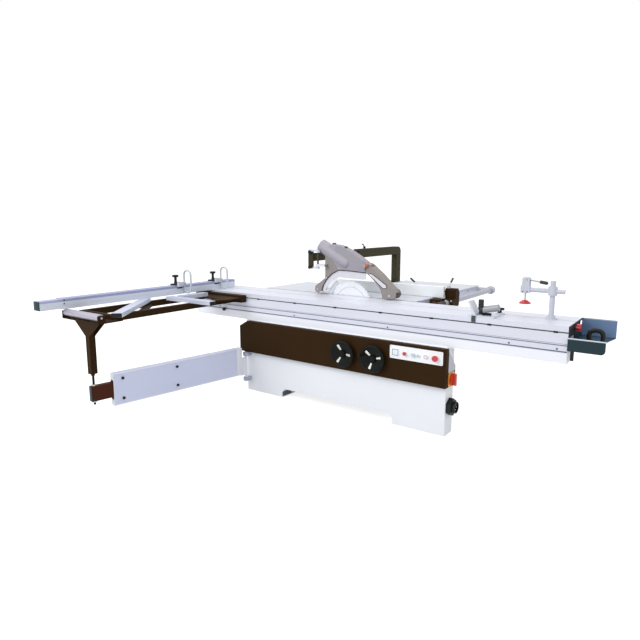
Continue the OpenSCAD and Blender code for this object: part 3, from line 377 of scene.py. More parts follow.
@dataclass(frozen=True)
class Turned(Finish):
    """Ground disc with fine rings round an axis along Y, and one band of another colour."""

    centre: Pair = (0.0, 0.0)
    ring_mm: float = 6.0
    spread: float = 0.08
    band_r: float = 0.0
    band_half_mm: float = 3.0
    band_colour: str = "#ffffff"

    def dress(self, on: Surface) -> None:
        """Draw rings by the distance from the axis.

        Args:
            on: Surface to dress.
        """
        flat = add(on.tree, "ShaderNodeMapping", {
            "Vector": on.place, "Location": (-self.centre[0] * MM, 0.0, -self.centre[1] * MM),
            "Scale": (1.0, 0.0, 1.0)})
        radius = add(on.tree, "ShaderNodeVectorMath", {0: flat.outputs["Vector"]},
                     operation="LENGTH").outputs["Value"]
        # Grinding marks are finer than a pixel, so each ring stands for a band of them.
        rings = add(on.tree, "ShaderNodeTexNoise", {
            "W": radius, "Scale": per_metre(self.ring_mm), "Detail": 3.0},
            noise_dimensions="1D").outputs["Fac"]
        on.tint(rings, self.shade, self.colour)
        on.vary_roughness(rings, self.roughness, self.spread)
        if self.band_r:
            away = add(on.tree, "ShaderNodeMath", {0: radius, 1: self.band_r * MM}, operation="SUBTRACT")
            near = add(on.tree, "ShaderNodeMath", {
                0: away.outputs["Value"], 1: 0.0, 2: self.band_half_mm * MM}, operation="COMPARE")
            on.tint(near.outputs["Value"], self.band_colour)


@dataclass(frozen=True)
class Moulded(Finish):
    """Moulded plastic with a fine eroded grain."""

    grain_mm: float = 5.0
    grain_depth_mm: float = 0.15
    grain_strength: float = 0.35
    spread: float = 0.05

    def dress(self, on: Surface) -> None:
        """Drift the colour and raise the grain.

        Args:
            on: Surface to dress.
        """
        super().dress(on)
        # Mould grain is about 0.3 mm, drawn coarser so that it softens the highlights in the render.
        grain = add(on.tree, "ShaderNodeTexVoronoi", {
            "Vector": on.place, "Scale": per_metre(self.grain_mm)}).outputs["Distance"]
        on.bump(grain, self.grain_depth_mm, self.grain_strength)
        on.vary_roughness(grain, self.roughness, self.spread)


# Powder-coated sheet steel, bluish white, with a soft sheen.
WHITE_ENAMEL = Enamel("powder_coat_white", "#eceff6", "#e4e8f1", 0.45)
# The stand has the same coat, a duller grey on the hinge lugs in front of it.
STAND_ENAMEL = Enamel("powder_coat_stand", "#f4f7fd", "#edf1f8", 0.45, zones=(
    zone("#aab2c6", before(-417.0)),))
# The box arm has the same white coat, painted darker and more lavender as the shade on its sides, and
# painted paler near the hinge as the light on that end.
ARM_ENAMEL = Enamel("powder_coat_arm", "#d6dcf4", "#ccd3ee", 0.5, zones=(
    zone("#eaedf6", behind(-560.0)),))
# Dark brown coat, satin, nearly black away from the light.
BROWN_ENAMEL = Enamel("powder_coat_brown", "#34230f", "#2c1c0b", 0.6, specular=0.06)
# The coat of the overhead post is nearer to olive.
POST_ENAMEL = Enamel("powder_coat_olive", "#403c2b", "#373322", 0.6, specular=0.12)
# The boom has the post's coat, with a pale tip and bars and a brown guide rod.
BOOM_ENAMEL = Enamel("powder_coat_boom", "#403c2b", "#373322", 0.6, specular=0.12, zones=(
    zone("#c9d2e2", right_of(-456.0)), zone("#c9d2e2", above(1204.0)),
    zone("#4a4636", right_of(-420.0), above(1082.0), below(1196.0))))
# Rail brackets: the front one brown as the stand's shell, the rear one left pale.
BRACKET_ENAMEL = Enamel("powder_coat_bracket", "#34230f", "#2c1c0b", 0.6, specular=0.06, zones=(
    zone("#c9cbd6", behind(1000.0)),))
# The telescopic arm's coat is redder, its pivot rod nearly black.
RUST_ENAMEL = Enamel("powder_coat_red_brown", "#48200f", "#3c1a0c", 0.55, specular=0.12, zones=(
    zone("#20170f", above(343.0)), zone("#15120f", below(215.0))))
# Blue coat inside the trough, painted darker at its bottom, below 735 mm, as the shade that falls there,
# dark teal on its apron, with pale rolled rims.
BLUE_ENAMEL = Enamel("powder_coat_blue", "#7088ac", "#667ea2", 0.45, specular=0.3, zones=(
    zone("#33495c", below(735.0)), zone("#0f2a33", before(-405.0)),
    zone("#c9d3de", before(-404.0), above(774.0)), zone("#a9b6ca", above(839.0))))
# Coated flip-stop loops and screw heads, a light cool grey.
PADDLE_ENAMEL = Enamel("powder_coat_paddle", "#c6cad2", "#bbbfc9", 0.4)
# Clamp castings under a light grey coat, smoother than the sheet.
CLAMP_ENAMEL = Enamel("powder_coat_clamp", "#c9ccd7", "#bfc2ce", 0.45, peel_depth_mm=0.06)
# Painted motor castings, a flat mid grey.
MOTOR_ENAMEL = Enamel("motor_paint_grey", "#73787f", "#696e75", 0.5)
# Extruded and anodised aluminium, pale with a cool cast; die lines run along the carriage.
RAIL_ALUMINIUM = Drawn("anodised_aluminium_long", "#d9dbe7", "#d0d3e0", 0.42, metallic=0.25, zones=(
    zone("#eaecf4", below(684.0)),))
# The same metal with its run across the machine.
CROSS_ALUMINIUM = Drawn("anodised_aluminium_cross", "#d0d5e6", "#c2c8dc", 0.4, metallic=0.3, run=Axis.Y)
# The crosscut fence is pale below; its grooved upper band and its top are painted a darker lavender blue as
# the shade of its top face.
CROSSCUT_ALUMINIUM = Drawn("anodised_aluminium_fence", "#dbe1ec", "#d0d7e4", 0.45, metallic=0.15,
                           run=Axis.Y, zones=(zone("#a8aed0", above(898.0)),))
# The rip fence is freshly drawn and nearly white.
FENCE_ALUMINIUM = Drawn("bright_drawn_aluminium", "#f3f6f8", "#e9eef1", 0.5)
# Cast shoe with its black upright grip, grey barrel and dark edge tab.
SHOE_FINISH = Drawn("cast_shoe_aluminium", "#d6dae4", "#c9cedb", 0.42, metallic=0.25, zones=(
    zone("#96989e", right_of(1126.0), above(862.0)),
    zone("#151919", right_of(1089.0), left_of(1126.0), above(858.0)), zone("#3c4148", before(-400.6))))
# Turned roller, duller than the other steel.
ROLLER_STEEL = Drawn("turned_roller_steel", "#b4b1bf", "#a29fac", 0.4, metallic=0.35, line_mm=3.0)
# Zinc-plated screws, dark against the aluminium.
SCREW_ZINC = Drawn("zinc_plated_screw", "#6a707c", "#5c626e", 0.4, metallic=0.5, run=Axis.Z, line_mm=3.0)
# Planed cast iron of the fixed tables, pale grey with tool marks across the table.
TABLE_IRON = Drawn("planed_table_iron", "#d2d6dd", "#c5cad2", 0.4, metallic=0.25, run=Axis.Y, line_mm=7.0)
# Turned steel of shafts and brackets, grey with a clear shine.
STEEL = Drawn("machined_steel", "#a4a6ac", "#8d9096", 0.32, metallic=0.9, run=Axis.Y, line_mm=3.0)
# Ground round rail, dark brown along its front stretch.
RAIL_STEEL = Drawn("ground_rail_steel", "#b4b6c2", "#a5a8b5", 0.4, metallic=0.3, run=Axis.Y, line_mm=3.0,
                   zones=(zone("#38281a", before(240.0)),))
# Plated small metal, bright with a cream cast.
CHROME = Drawn("bright_plated_steel", "#e3e1d8", "#cfccc0", 0.25, metallic=0.5, run=Axis.Z, line_mm=3.0)
# Ground saw body with rings of grinding marks and a greyer band below the teeth.
BLADE_STEEL = Turned("ground_blade_steel", "#edf0f3", "#e2e5e9", 0.35, metallic=0.45,
                     centre=(-117.0, 770.0), band_r=148.0, band_colour="#c4c6cb")
# The scoring blade is ground brighter.
SCORING_STEEL = Turned("ground_scoring_steel", "#d0d1d5", "#bcbec4", 0.28, metallic=0.8,
                       centre=(160.0, 788.0))
# ABS shell with a fine eroded grain; the hood's left panel and lower limb are darker, its nozzle and sides
# lighter, its lug nearly white.
GUARD_ABS = Moulded("guard_abs_grey", "#9a97a0", "#908d96", 0.5, zones=(
    zone("#8a8481", (-0.78, 0.0, -0.626, -495.0), above(985.0), below(1190.0)),
    zone("#8f8888", left_of(-285.0), below(985.0)),
    zone("#9e9ba5", before(-38.7), above(1105.0)), zone("#9e9ba5", behind(38.7)),
    zone("#9e9ba5", (-0.885, 0.0, 0.465, 800.0), above(1190.0)),
    zone("#d9dce6", left_of(-328.5), before(-38.7), below(1105.0))))
# The flap is a warmer grey moulding.
FLAP_ABS = Moulded("flap_abs_grey", "#908985", "#867f7b", 0.5)
# Milky acrylic of the blade's shield and the flap's window, smoother than the shells; where the shield runs
# down the hood's left leg it is painted light over the leg's shade.
SHIELD_ACRYLIC = Moulded("shield_acrylic_pale", "#d9d8e0", "#cfced7", 0.3)
# Control plate in nearly white ABS, dull.
PANEL_ABS = Moulded("panel_abs_pale", "#fafcff", "#f1f5fa", 0.5)
# End cover in light grey ABS.
COVER_ABS = Moulded("end_cover_grey", "#c6c8d4", "#bbbecb", 0.5)
# Painted shade inside the foot's open end: a dull dark grey plate across it.
FOOT_END_SHADE = Moulded("painted_channel_shade_grey", "#5b6464", "#525b5c", 0.6)
# Black moulded ABS with a weak sheen.
BLACK_ABS = Moulded("black_moulded_plastic", "#0e1312", "#161b1a", 0.5, specular=0.25)
# Phenolic wheel rims, deeper black than the ABS.
WHEEL_PHENOLIC = Moulded("black_wheel_phenolic", "#080d0b", "#0d1210", 0.5, specular=0.12)
# End plates in dark teal plastic.
TEAL_ABS = Moulded("dark_teal_plastic", "#172d33", "#1d353b", 0.5, specular=0.2)
# Soft PVC in the carriage's slot, dull green black.
LINER_PVC = Moulded("slot_liner_pvc", "#39504a", "#31463f", 0.6)
# Painted shade, grey blue: strips at the back of the beam's slot, in the gap along its top edge and in the
# grooves on top of the fence.
RECESS_SHADE_GREY = Moulded("painted_recess_shade_grey_blue", "#6f7a94", "#657089", 0.5)
# Painted shade in the grooves of the fence's face, a stronger blue.
GROOVE_SHADE_BLUE = Moulded("painted_groove_shade_blue", "#7d88b8", "#727dad", 0.5)
# Stop bodies of black plastic with a pale pin block.
STOP_FINISH = Moulded("black_stop_with_pale_block", "#121716", "#1a1f1e", 0.5, specular=0.25, zones=(
    zone("#c4c7d0", right_of(-1353.0), above(905.0)),))
# Button caps and the carriage's lock knob, red and glossy thermoset.
RED_CAP = Moulded("red_button_plastic", "#cc343c", "#bd2c34", 0.28, coat=0.3)
# The main switch's grip is nearer to orange.
SWITCH_RED = Moulded("red_switch_plastic", "#d63a22", "#c7331d", 0.3, coat=0.3)
# The hood's knob in orange plastic, less glossy.
ORANGE_CAP = Moulded("orange_knob_plastic", "#d9643a", "#cb5a32", 0.35)
# Lamp lens and start button in pale blue, glossy.
PALE_CAP = Moulded("pale_button_plastic", "#c6d4e6", "#b9c8dc", 0.3, coat=0.3)
# Ring round the key switch, a pale pink.
PINK_CAP = Moulded("pink_key_ring_plastic", "#d9a9ac", "#cc9a9e", 0.35)
# Frame round the display, mid blue.
BLUE_CAP = Moulded("blue_display_frame_plastic", "#8fa9cf", "#83a0c8", 0.4)
# The display's window, white and smooth.
GLASS_WHITE = Moulded("display_window_white", "#eef2f5", "#e6ebef", 0.2)
# Plate behind the main switch, warm yellow.
YELLOW_ABS = Moulded("yellow_plate_plastic", "#f0ab35", "#e59f2c", 0.4)
# Clamp ram with a red plastic foot on a steel rod.
RAM_FINISH = Moulded("red_foot_on_steel_rod", "#c9343a", "#b92d33", 0.35, zones=(
    zone("#b9bbc0", above(952.0)),))
# Levers with a black plastic grip on a steel rod, one for each place of the grip.
TOGGLE_FINISH = Moulded("black_grip_on_toggle_rod", "#1b1f1f", "#242828", 0.4, zones=(
    zone("#b0b2b8", left_of(1417.0)),))
LOCK_FINISH = Moulded("black_grip_on_lock_rod", "#1b1f1f", "#242828", 0.4, zones=(
    zone("#c3c6cb", below(964.0)),))
FENCE_LOCK_FINISH = Moulded("black_grip_on_fence_rod", "#1b1f1f", "#242828", 0.4, zones=(
    zone("#d7dadf", below(951.0)),))
# Cloth-faced rubber belt, black and without shine.
BELT_RUBBER = Moulded("belt_rubber", "#161616", "#202020", 0.75)

NODE_FINISH: dict[str, Finish] = {
    "base_frame": STAND_ENAMEL, "fascia_panel": BROWN_ENAMEL, "control_plate": PANEL_ABS,
    "emergency_stop": RED_CAP, "stop_button": RED_CAP, "start_button": PALE_CAP,
    "main_switch": SWITCH_RED, "inlet_box": BLACK_ABS, "table_main": TABLE_IRON,
    "table_extension": TABLE_IRON, "edge_scale": CROSS_ALUMINIUM, "rail_bar": RAIL_STEEL,
    "rail_brackets": BRACKET_ENAMEL, "carriage_beam": RAIL_ALUMINIUM, "end_tray": BLUE_ENAMEL,
    "guard_post": POST_ENAMEL, "trunnions": STEEL,
    "carriage_profile": RAIL_ALUMINIUM, "carriage_end_caps": BLACK_ABS, "push_handle": BLACK_ABS,
    "carriage_lock_knob": RED_CAP, "roller_cage": BLACK_ABS, "outrigger_frame": BROWN_ENAMEL,
    "outrigger_slats": CROSS_ALUMINIUM, "outrigger_roller": ROLLER_STEEL,
    "fence_profile": CROSSCUT_ALUMINIUM, "fence_extension": CROSSCUT_ALUMINIUM,
    "stop_1_slider": STOP_FINISH, "stop_1_paddle": PADDLE_ENAMEL, "stop_1_knob": BLACK_ABS,
    "stop_2_slider": STOP_FINISH, "stop_2_paddle": PADDLE_ENAMEL, "stop_2_knob": BLACK_ABS,
    "clamp_post": CLAMP_ENAMEL, "clamp_arm": CLAMP_ENAMEL, "clamp_lever": TOGGLE_FINISH,
    "clamp_ram": RAM_FINISH, "edge_shoe": SHOE_FINISH, "shoe_knob": BLACK_ABS,
    "swing_arm": ARM_ENAMEL, "inner_arm": RUST_ENAMEL,
    "tilt_frame": STEEL, "lift_slide": STEEL, "motor": MOTOR_ENAMEL, "motor_pulley": STEEL,
    "drive_belt": BELT_RUBBER, "arbor": STEEL, "saw_blade": BLADE_STEEL, "riving_knife": STEEL,
    "scoring_blade": SCORING_STEEL, "scoring_motor": MOTOR_ENAMEL, "handwheel_tilt": WHEEL_PHENOLIC,
    "handwheel_lift": WHEEL_PHENOLIC,
    "guard_boom": BOOM_ENAMEL, "guard_hood": GUARD_ABS, "guard_flap": FLAP_ABS,
    "rip_carrier": BROWN_ENAMEL, "rip_fence": FENCE_ALUMINIUM, "rip_lock_lever": LOCK_FINISH,
    "fence_clamp_lever": FENCE_LOCK_FINISH,
}


def coat_nodes() -> None:
    """Give every solid of the frame its finish."""
    for name, obj in frame["nodes"].items():
        material = NODE_FINISH[name].material()
        if not obj.material_slots:
            obj.data.materials.append(material)
        for slot in obj.material_slots:
            slot.material = material
    LOG.info("coated %d solids", len(frame["nodes"]))


def circle(centre: Vector, across: tuple[Vector, Vector], radius: float, sides: int) -> list[Vector]:
    """Points round a circle.

    Args:
        centre: Its middle.
        across: Two unit vectors that span its plane.
        radius: Its radius.
        sides: Number of points.

    Returns:
        The points in order.
    """
    turns = [2 * math.pi * i / sides for i in range(sides)]
    return [centre + across[0] * (radius * math.cos(t)) + across[1] * (radius * math.sin(t))
            for t in turns]


class Form:
    """Mesh of one piece while it is being built."""

    def __init__(self) -> None:
        """Start with nothing in it."""
        self.mesh = bmesh.new()

    def skin(self, rings: Sequence[Sequence[Vector]], closed: bool = False) -> "Form":
        """Join rings of equal length into a surface and cap its ends.

        Args:
            rings: Rings of points in order.
            closed: Whether the last ring joins the first, without caps.

        Returns:
            This form.
        """
        made = [[self.mesh.verts.new(p) for p in ring] for ring in rings]
        count = len(made[0])
        pairs = list(zip(made, made[1:]))
        if closed:
            pairs.append((made[-1], made[0]))
        for low, high in pairs:
            for i in range(count):
                j = (i + 1) % count
                self.mesh.faces.new((low[i], low[j], high[j], high[i]))
        if not closed:
            self.mesh.faces.new(list(reversed(made[0])))
            self.mesh.faces.new(made[-1])
        return self

    def block(self, low: Point, high: Point, round_mm: float = 1.0) -> "Form":
        """Add a box with rounded edges.

        Args:
            low: Lowest corner.
            high: Highest corner.
            round_mm: Radius of its edges.

        Returns:
            This form.
        """
        size = [h - l for l, h in zip(low, high)]
        centre = [(h + l) / 2 for l, h in zip(low, high)]
        place = Matrix.Translation(centre) @ Matrix.Diagonal((*size, 1.0))
        made = bmesh.ops.create_cube(self.mesh, size=1.0, matrix=place)
        edges = list(dict.fromkeys(e for v in made["verts"] for e in v.link_edges))
        width = min(round_mm, EDGE_SHARE * min(size))
        bmesh.ops.bevel(self.mesh, geom=edges, offset=width, segments=2, affect="EDGES", profile=0.5)
        return self

    def lathe(self, profile: Outline, origin: Point, axis: Axis, sign: float = 1.0, sides: int = 28,
              closed: bool = False) -> "Form":
        """Turn a profile round an axis.

        Args:
            profile: Radius and height pairs in order.
            origin: Point on the axis at height zero.
            axis: Axis of the turning.
            sign: One to grow along the axis, minus one against it.
            sides: Number of sides.
            closed: Whether the profile closes on itself, as on a ring.

        Returns:
            This form.
        """
        rings = [circle(Vector(origin) + axis.unit * (sign * h), axis.across, max(r, POLE_R), sides)
                 for r, h in profile]
        return self.skin(rings, closed)

    def slab(self, outline: Outline, axis: Axis, start: float, end: float) -> "Form":
        """Extrude a flat outline along an axis.

        Args:
            outline: Points in the plane of the two axes that follow the given one.
            axis: Axis of the extrusion.
            start: Where it starts on that axis.
            end: Where it ends.

        Returns:
            This form.
        """
        return self.skin([axis.lay(outline, level) for level in (start, end)])

    def collar(self, outer: Outline, inner: Outline, axis: Axis, start: float, end: float) -> "Form":
        """Extrude a flat frame along an axis.

        Args:
            outer: Outer outline, in the plane of the two axes that follow the given one.
            inner: Inner outline, with as many points.
            axis: Axis of the extrusion.
            start: Where it starts on that axis.
            end: Where it ends.

        Returns:
            This form.
        """
        around = ((outer, start), (outer, end), (inner, end), (inner, start))
        return self.skin([axis.lay(flat, level) for flat, level in around], closed=True)

    def pipe(self, path: Sequence[Point], radius: float, sides: int = 12, closed: bool = False) -> "Form":
        """Sweep a round section along a path.

        Args:
            path: Points of the path.
            radius: Radius of the section.
            sides: Number of sides.
            closed: Whether the path's end joins its start.

        Returns:
            This form.
        """
        points = [Vector(p) for p in path]
        rings = []
        lead = (points[1] - points[0]).normalized()
        side = lead.orthogonal().normalized()
        for i, p in enumerate(points):
            earlier = points[i - 1 if closed else max(i - 1, 0)]
            later = points[(i + 1) % len(points) if closed else min(i + 1, len(points) - 1)]
            lead = (later - earlier).normalized()
            side = (side - lead * side.dot(lead)).normalized()
            rings.append(circle(p, (side, lead.cross(side)), radius, sides))
        return self.skin(rings, closed)

    def turn(self, angle_deg: float, centre: Point, axis: Axis) -> "Form":
        """Turn all that is built so far.

        Args:
            angle_deg: Angle of the turn.
            centre: Point on the axis.
            axis: Axis of the turn.

        Returns:
            This form.
        """
        bmesh.ops.rotate(self.mesh, verts=self.mesh.verts, cent=Vector(centre),
                         matrix=Matrix.Rotation(math.radians(angle_deg), 3, axis.unit))
        return self

    def data(self, name: str) -> bpy.types.Mesh:
        """Turn what is built into a mesh in metres.

        Args:
            name: Name of the mesh.

        Returns:
            The mesh.
        """
        bmesh.ops.recalc_face_normals(self.mesh, faces=self.mesh.faces)
        bmesh.ops.scale(self.mesh, vec=(MM, MM, MM), verts=self.mesh.verts)
        data = bpy.data.meshes.new(name)
        self.mesh.to_mesh(data)
        self.mesh.free()
        return data

    def piece(self, name: str, finish: Finish, body: str, slot: Slot) -> bpy.types.Object:
        """Finish the mesh and let it ride on a body; name, finish and body are those of seat, and slot is
        not used.
        """
        return seat(self.data(name), name, finish, body)


def seat(data: bpy.types.Mesh, name: str, finish: Finish, body: str) -> bpy.types.Object:
    """Make a piece of a finished mesh and let it ride on a body.

    Args:
        data: Mesh in metres, in place.
        name: Name of the piece.
        finish: Its finish.
        body: Body that carries it.

    Returns:
        The piece.
    """
    data.materials.clear()
    data.materials.append(finish.material())
    data.shade_smooth()
    data.set_sharp_from_angle(angle=math.radians(SHARP_DEG))
    obj = bpy.data.objects.new(name, data)
    bpy.context.scene.collection.objects.link(obj)
    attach(obj, body)
    LOG.info("piece %s on %s", name, body)
    return obj


@dataclass
class Row:
    """Equal copies of one small mesh along a straight line, made by a node tree."""

    name: str
    count: int
    step: Point
    finish: Finish
    body: str
    slot: Slot

    def tree(self) -> bpy.types.NodeTree:
        """Node tree with named inputs for the part, the count, the step and the finish.

        Returns:
            The tree, made on its first use.
        """
        made = bpy.data.node_groups.get("row_of_copies")
        if made is not None:
            return made
        made = bpy.data.node_groups.new("row_of_copies", "GeometryNodeTree")
        sockets = (("Part", "Geometry"), ("Count", "Int"), ("Step", "Vector"), ("Finish", "Material"))
        for label, kind in sockets:
            made.interface.new_socket(label, in_out="INPUT", socket_type="NodeSocket" + kind)
        made.interface.new_socket("Row", in_out="OUTPUT", socket_type="NodeSocketGeometry")
        given = add(made, "NodeGroupInput").outputs
        line = add(made, "GeometryNodeMeshLine", {"Count": given["Count"], "Offset": given["Step"]},
                   mode="OFFSET")
        copies = add(made, "GeometryNodeInstanceOnPoints", {
            "Points": line.outputs["Mesh"], "Instance": given["Part"]})
        real = add(made, "GeometryNodeRealizeInstances", {"Geometry": copies.outputs["Instances"]})
        coat = add(made, "GeometryNodeSetMaterial", {
            "Geometry": real.outputs["Geometry"], "Material": given["Finish"]})
        add(made, "NodeGroupOutput", {"Row": coat.outputs["Geometry"]})
        return made

    def build(self, form: Form) -> bpy.types.Object:
        """Repeat a form and let the row ride on its body.

        Args:
            form: First copy, in its place.

        Returns:
            The row as one piece.
        """
        maker = bpy.data.objects.new(self.name + "_maker", form.data(self.name + "_one"))
        bpy.context.scene.collection.objects.link(maker)
        nodes = maker.modifiers.new("row", "NODES")
        nodes.node_group = self.tree()
        items = nodes.node_group.interface.items_tree
        key = {item.name: item.identifier for item in items if item.in_out == "INPUT"}
        nodes[key["Count"]] = self.count
        nodes[key["Step"]] = [v * MM for v in self.step]
        nodes[key["Finish"]] = self.finish.material()
        graph = bpy.context.evaluated_depsgraph_get()
        data = bpy.data.meshes.new_from_object(maker.evaluated_get(graph), depsgraph=graph)
        maker.modifiers.clear()
        bpy.data.objects.remove(maker)
        data.name = self.name
        return seat(data, self.name, self.finish, self.body)


# Low domed head with a socket, as radius and height in shares of the head's radius.
PAN_HEAD = ((1.0, 0.25), (0.75, 0.5), (0.3, 0.55), (0.25, 0.3), (0.0, 0.3))
# Depth in millimetres to which a head is let into its seat.
PAN_SINK = 0.5


def pan_head(place: Point, axis: Axis, sign: float, radius: float = 4.5) -> Form:
    """Screw with a low domed head.

    Args:
        place: Middle of its seat.
        axis: Axis of the screw.
        sign: Side on which the head stands.
        radius: Radius of the head.

    Returns:
        The screw's form.
    """
    profile = [(radius, -PAN_SINK)] + [(r * radius, h * radius) for r, h in PAN_HEAD]
    return Form().lathe(profile, place, axis, sign, sides=16)


@dataclass
class Handwheel:
    """Bright spokes and hub cap on a dished handwheel; a spoke's end is radius, height and half width."""

    name: str
    body: str
    x: float
    angles: tuple[float, ...]
    z: float = 479.0
    back: float = -460.0
    inner: tuple[float, float, float] = (33.0, 19.4, 8.0)
    outer: tuple[float, float, float] = (75.0, 31.7, 11.5)
    thick: float = 5.0
    sink: float = 1.0
    taper: float = 0.6
    hub_height: float = 30.0
    cap_profile: Outline = ((15.0, 0.0), (15.0, 2.0), (11.0, 4.5), (5.0, 5.5), (0.0, 5.5))

    def build(self) -> None:
        """Lay tapered spokes on the dish and close the hub with a domed cap."""
        spokes = Form()
        for angle in self.angles:
            spokes.skin(self.spoke(math.radians(angle)))
        spokes.piece("spokes_" + self.name, CHROME, self.body, Slot.STEEL)
        top = (self.x, self.back - self.hub_height, self.z)
        Form().lathe(self.cap_profile, top, Axis.Y, -1.0).piece(
            "hub_cap_" + self.name, WHEEL_PHENOLIC, self.body, Slot.BLACK)

    def spoke(self, angle: float) -> list[list[Vector]]:
        """Sections at both ends of a spoke.

        Args:
            angle: Its direction in radians.

        Returns:
            Four points at each end.
        """
        out = Vector((math.cos(angle), 0.0, math.sin(angle)))
        side = Vector((-out.z, 0.0, out.x))
        rings = []
        for radius, height, half in (self.inner, self.outer):
            foot = Vector((self.x, self.back - height + self.sink, self.z)) + out * radius
            crown = foot - Vector((0.0, self.thick, 0.0))
            upper = self.taper * half
            rings.append([foot - side * half, foot + side * half, crown + side * upper,
                          crown - side * upper])
        return rings


@dataclass
class ControlPanel:
    """Window, key ring, lamp lens and screws of the control plate."""

    front: float = -459.0
    mid_z: float = 551.0
    frame_box: Box = ((528.0, -461.2, 526.0), (576.0, -460.0, 572.0))
    window_box: Box = ((533.0, -462.0, 531.0), (571.0, -460.6, 567.0))
    key_x: float = 784.0
    key_rise: float = 7.0
    key_profile: Outline = ((10.5, 0.0), (14.5, 0.0), (14.5, 1.6), (12.5, 2.4), (10.5, 1.6))
    lamp_x: float = 728.0
    lamp_rise: float = 8.0
    lamp_profile: Outline = ((11.0, 0.0), (10.0, 2.5), (6.0, 4.5), (0.0, 5.0))
    screw_x: float = 517.0
    screw_gap: float = 379.0
    screw_z: Pair = (514.0, 589.0)

    def build(self) -> None:
        """Dress the plate."""
        Form().block(*self.frame_box).piece("display_frame", BLUE_CAP, "stand", Slot.PALE)
        Form().block(*self.window_box).piece("display_window", GLASS_WHITE, "stand", Slot.PALE)
        key = (self.key_x, self.front - self.key_rise, self.mid_z)
        Form().lathe(self.key_profile, key, Axis.Y, -1.0, closed=True).piece(
            "key_ring", PINK_CAP, "stand", Slot.RED)
        lamp = (self.lamp_x, self.front - self.lamp_rise, self.mid_z)
        Form().lathe(self.lamp_profile, lamp, Axis.Y, -1.0).piece("lamp_lens", PALE_CAP, "stand", Slot.PALE)
        for name, z in zip(("low", "high"), self.screw_z):
            Row("panel_screws_" + name, 2, (self.screw_gap, 0.0, 0.0), STEEL, "stand", Slot.STEEL).build(
                pan_head((self.screw_x, self.front, z), Axis.Y, -1.0))


@dataclass
class Stand:
    """Plates on the stand's end, painted shade in its foot's open end and the door at its back."""

    end_x: float = 928.0
    switch: Pair = (-367.0, 399.0)
    plate_half: float = 48.0
    plate_corner: float = 1.3
    plate_thick: float = 5.5
    plate_sides: int = 48
    shaft_r: float = 9.0
    cover: Outline = ((-414.0, 449.0), (-297.0, 449.0), (-297.0, 479.0), (-414.0, 598.0))
    cover_thick: float = 1.5
    door_box: Box = ((-420.0, 385.0, 95.0), (80.0, 388.0, 470.0))
    door_screws: int = 5
    door_screw_x: float = -400.0
    door_screw_gap: float = 115.0
    door_screw_z: Pair = (110.0, 455.0)
    door_screw_r: float = 5.5
    latch: Pair = (52.0, 280.0)
    latch_profile: Outline = (
        (16.0, 0.0), (16.0, 4.0), (9.0, 6.0), (9.0, 14.0), (12.0, 16.0), (12.0, 22.0), (0.0, 24.0))
    # Painted shade: a dark plate across the foot's open end.
    dark_plate_box: Box = ((-524.2, -409.0, 6.0), (-522.6, -294.0, 70.0))
    inlet: Point = (958.0, -350.0, 200.0)
    pins: int = 5
    pin_circle_r: float = 20.0
    pin_profile: Outline = ((4.3, -1.0), (4.3, 1.5), (3.0, 3.0), (0.0, 3.2))

    def build(self) -> None:
        """Make the plates, the door, the painted shade in the foot's open end and the tips of the inlet's
        pins.
        """
        self.switch_plate()
        Form().slab(self.cover, Axis.X, self.end_x, self.end_x + self.cover_thick).piece(
            "end_cover", COVER_ABS, "stand", Slot.GREY)
        self.door()
        # Painted shade in the foot's open end.
        Form().block(*self.dark_plate_box).piece("foot_end_painted_shade", FOOT_END_SHADE, "stand", Slot.GREY)
        tips = Form()
        for tip in circle(Vector(self.inlet), Axis.X.across, self.pin_circle_r, self.pins):
            tips.lathe(self.pin_profile, tip, Axis.X, sides=12)
        tips.piece("inlet_pin_tips", CHROME, "stand", Slot.STEEL)

    def switch_plate(self) -> None:
        """Square plate behind the main switch, with cut corners and a hole for its shaft."""
        y, z = self.switch
        outer, inner = [], []
        for i in range(self.plate_sides):
            c = math.cos(2 * math.pi * i / self.plate_sides)
            s = math.sin(2 * math.pi * i / self.plate_sides)
            reach = min(self.plate_half / max(abs(c), abs(s)), self.plate_corner * self.plate_half)
            outer.append((y + c * reach, z + s * reach))
            inner.append((y + c * self.shaft_r, z + s * self.shaft_r))
        Form().collar(outer, inner, Axis.X, self.end_x, self.end_x + self.plate_thick).piece(
            "switch_plate", YELLOW_ABS, "stand", Slot.PALE)

    def door(self) -> None:
        """Access door at the back with its screws and latch."""
        face = self.door_box[1][1]
        Form().block(*self.door_box, round_mm=2.0).piece("rear_door", WHITE_ENAMEL, "stand", Slot.WHITE)
        for name, z in zip(("low", "high"), self.door_screw_z):
            Row("door_screws_" + name, self.door_screws, (self.door_screw_gap, 0.0, 0.0), STEEL, "stand",
                Slot.STEEL).build(
                    pan_head((self.door_screw_x, face, z), Axis.Y, 1.0, self.door_screw_r))
        Form().lathe(self.latch_profile, (self.latch[0], face, self.latch[1]), Axis.Y).piece(
            "door_latch", BLACK_ABS, "stand", Slot.BLACK)


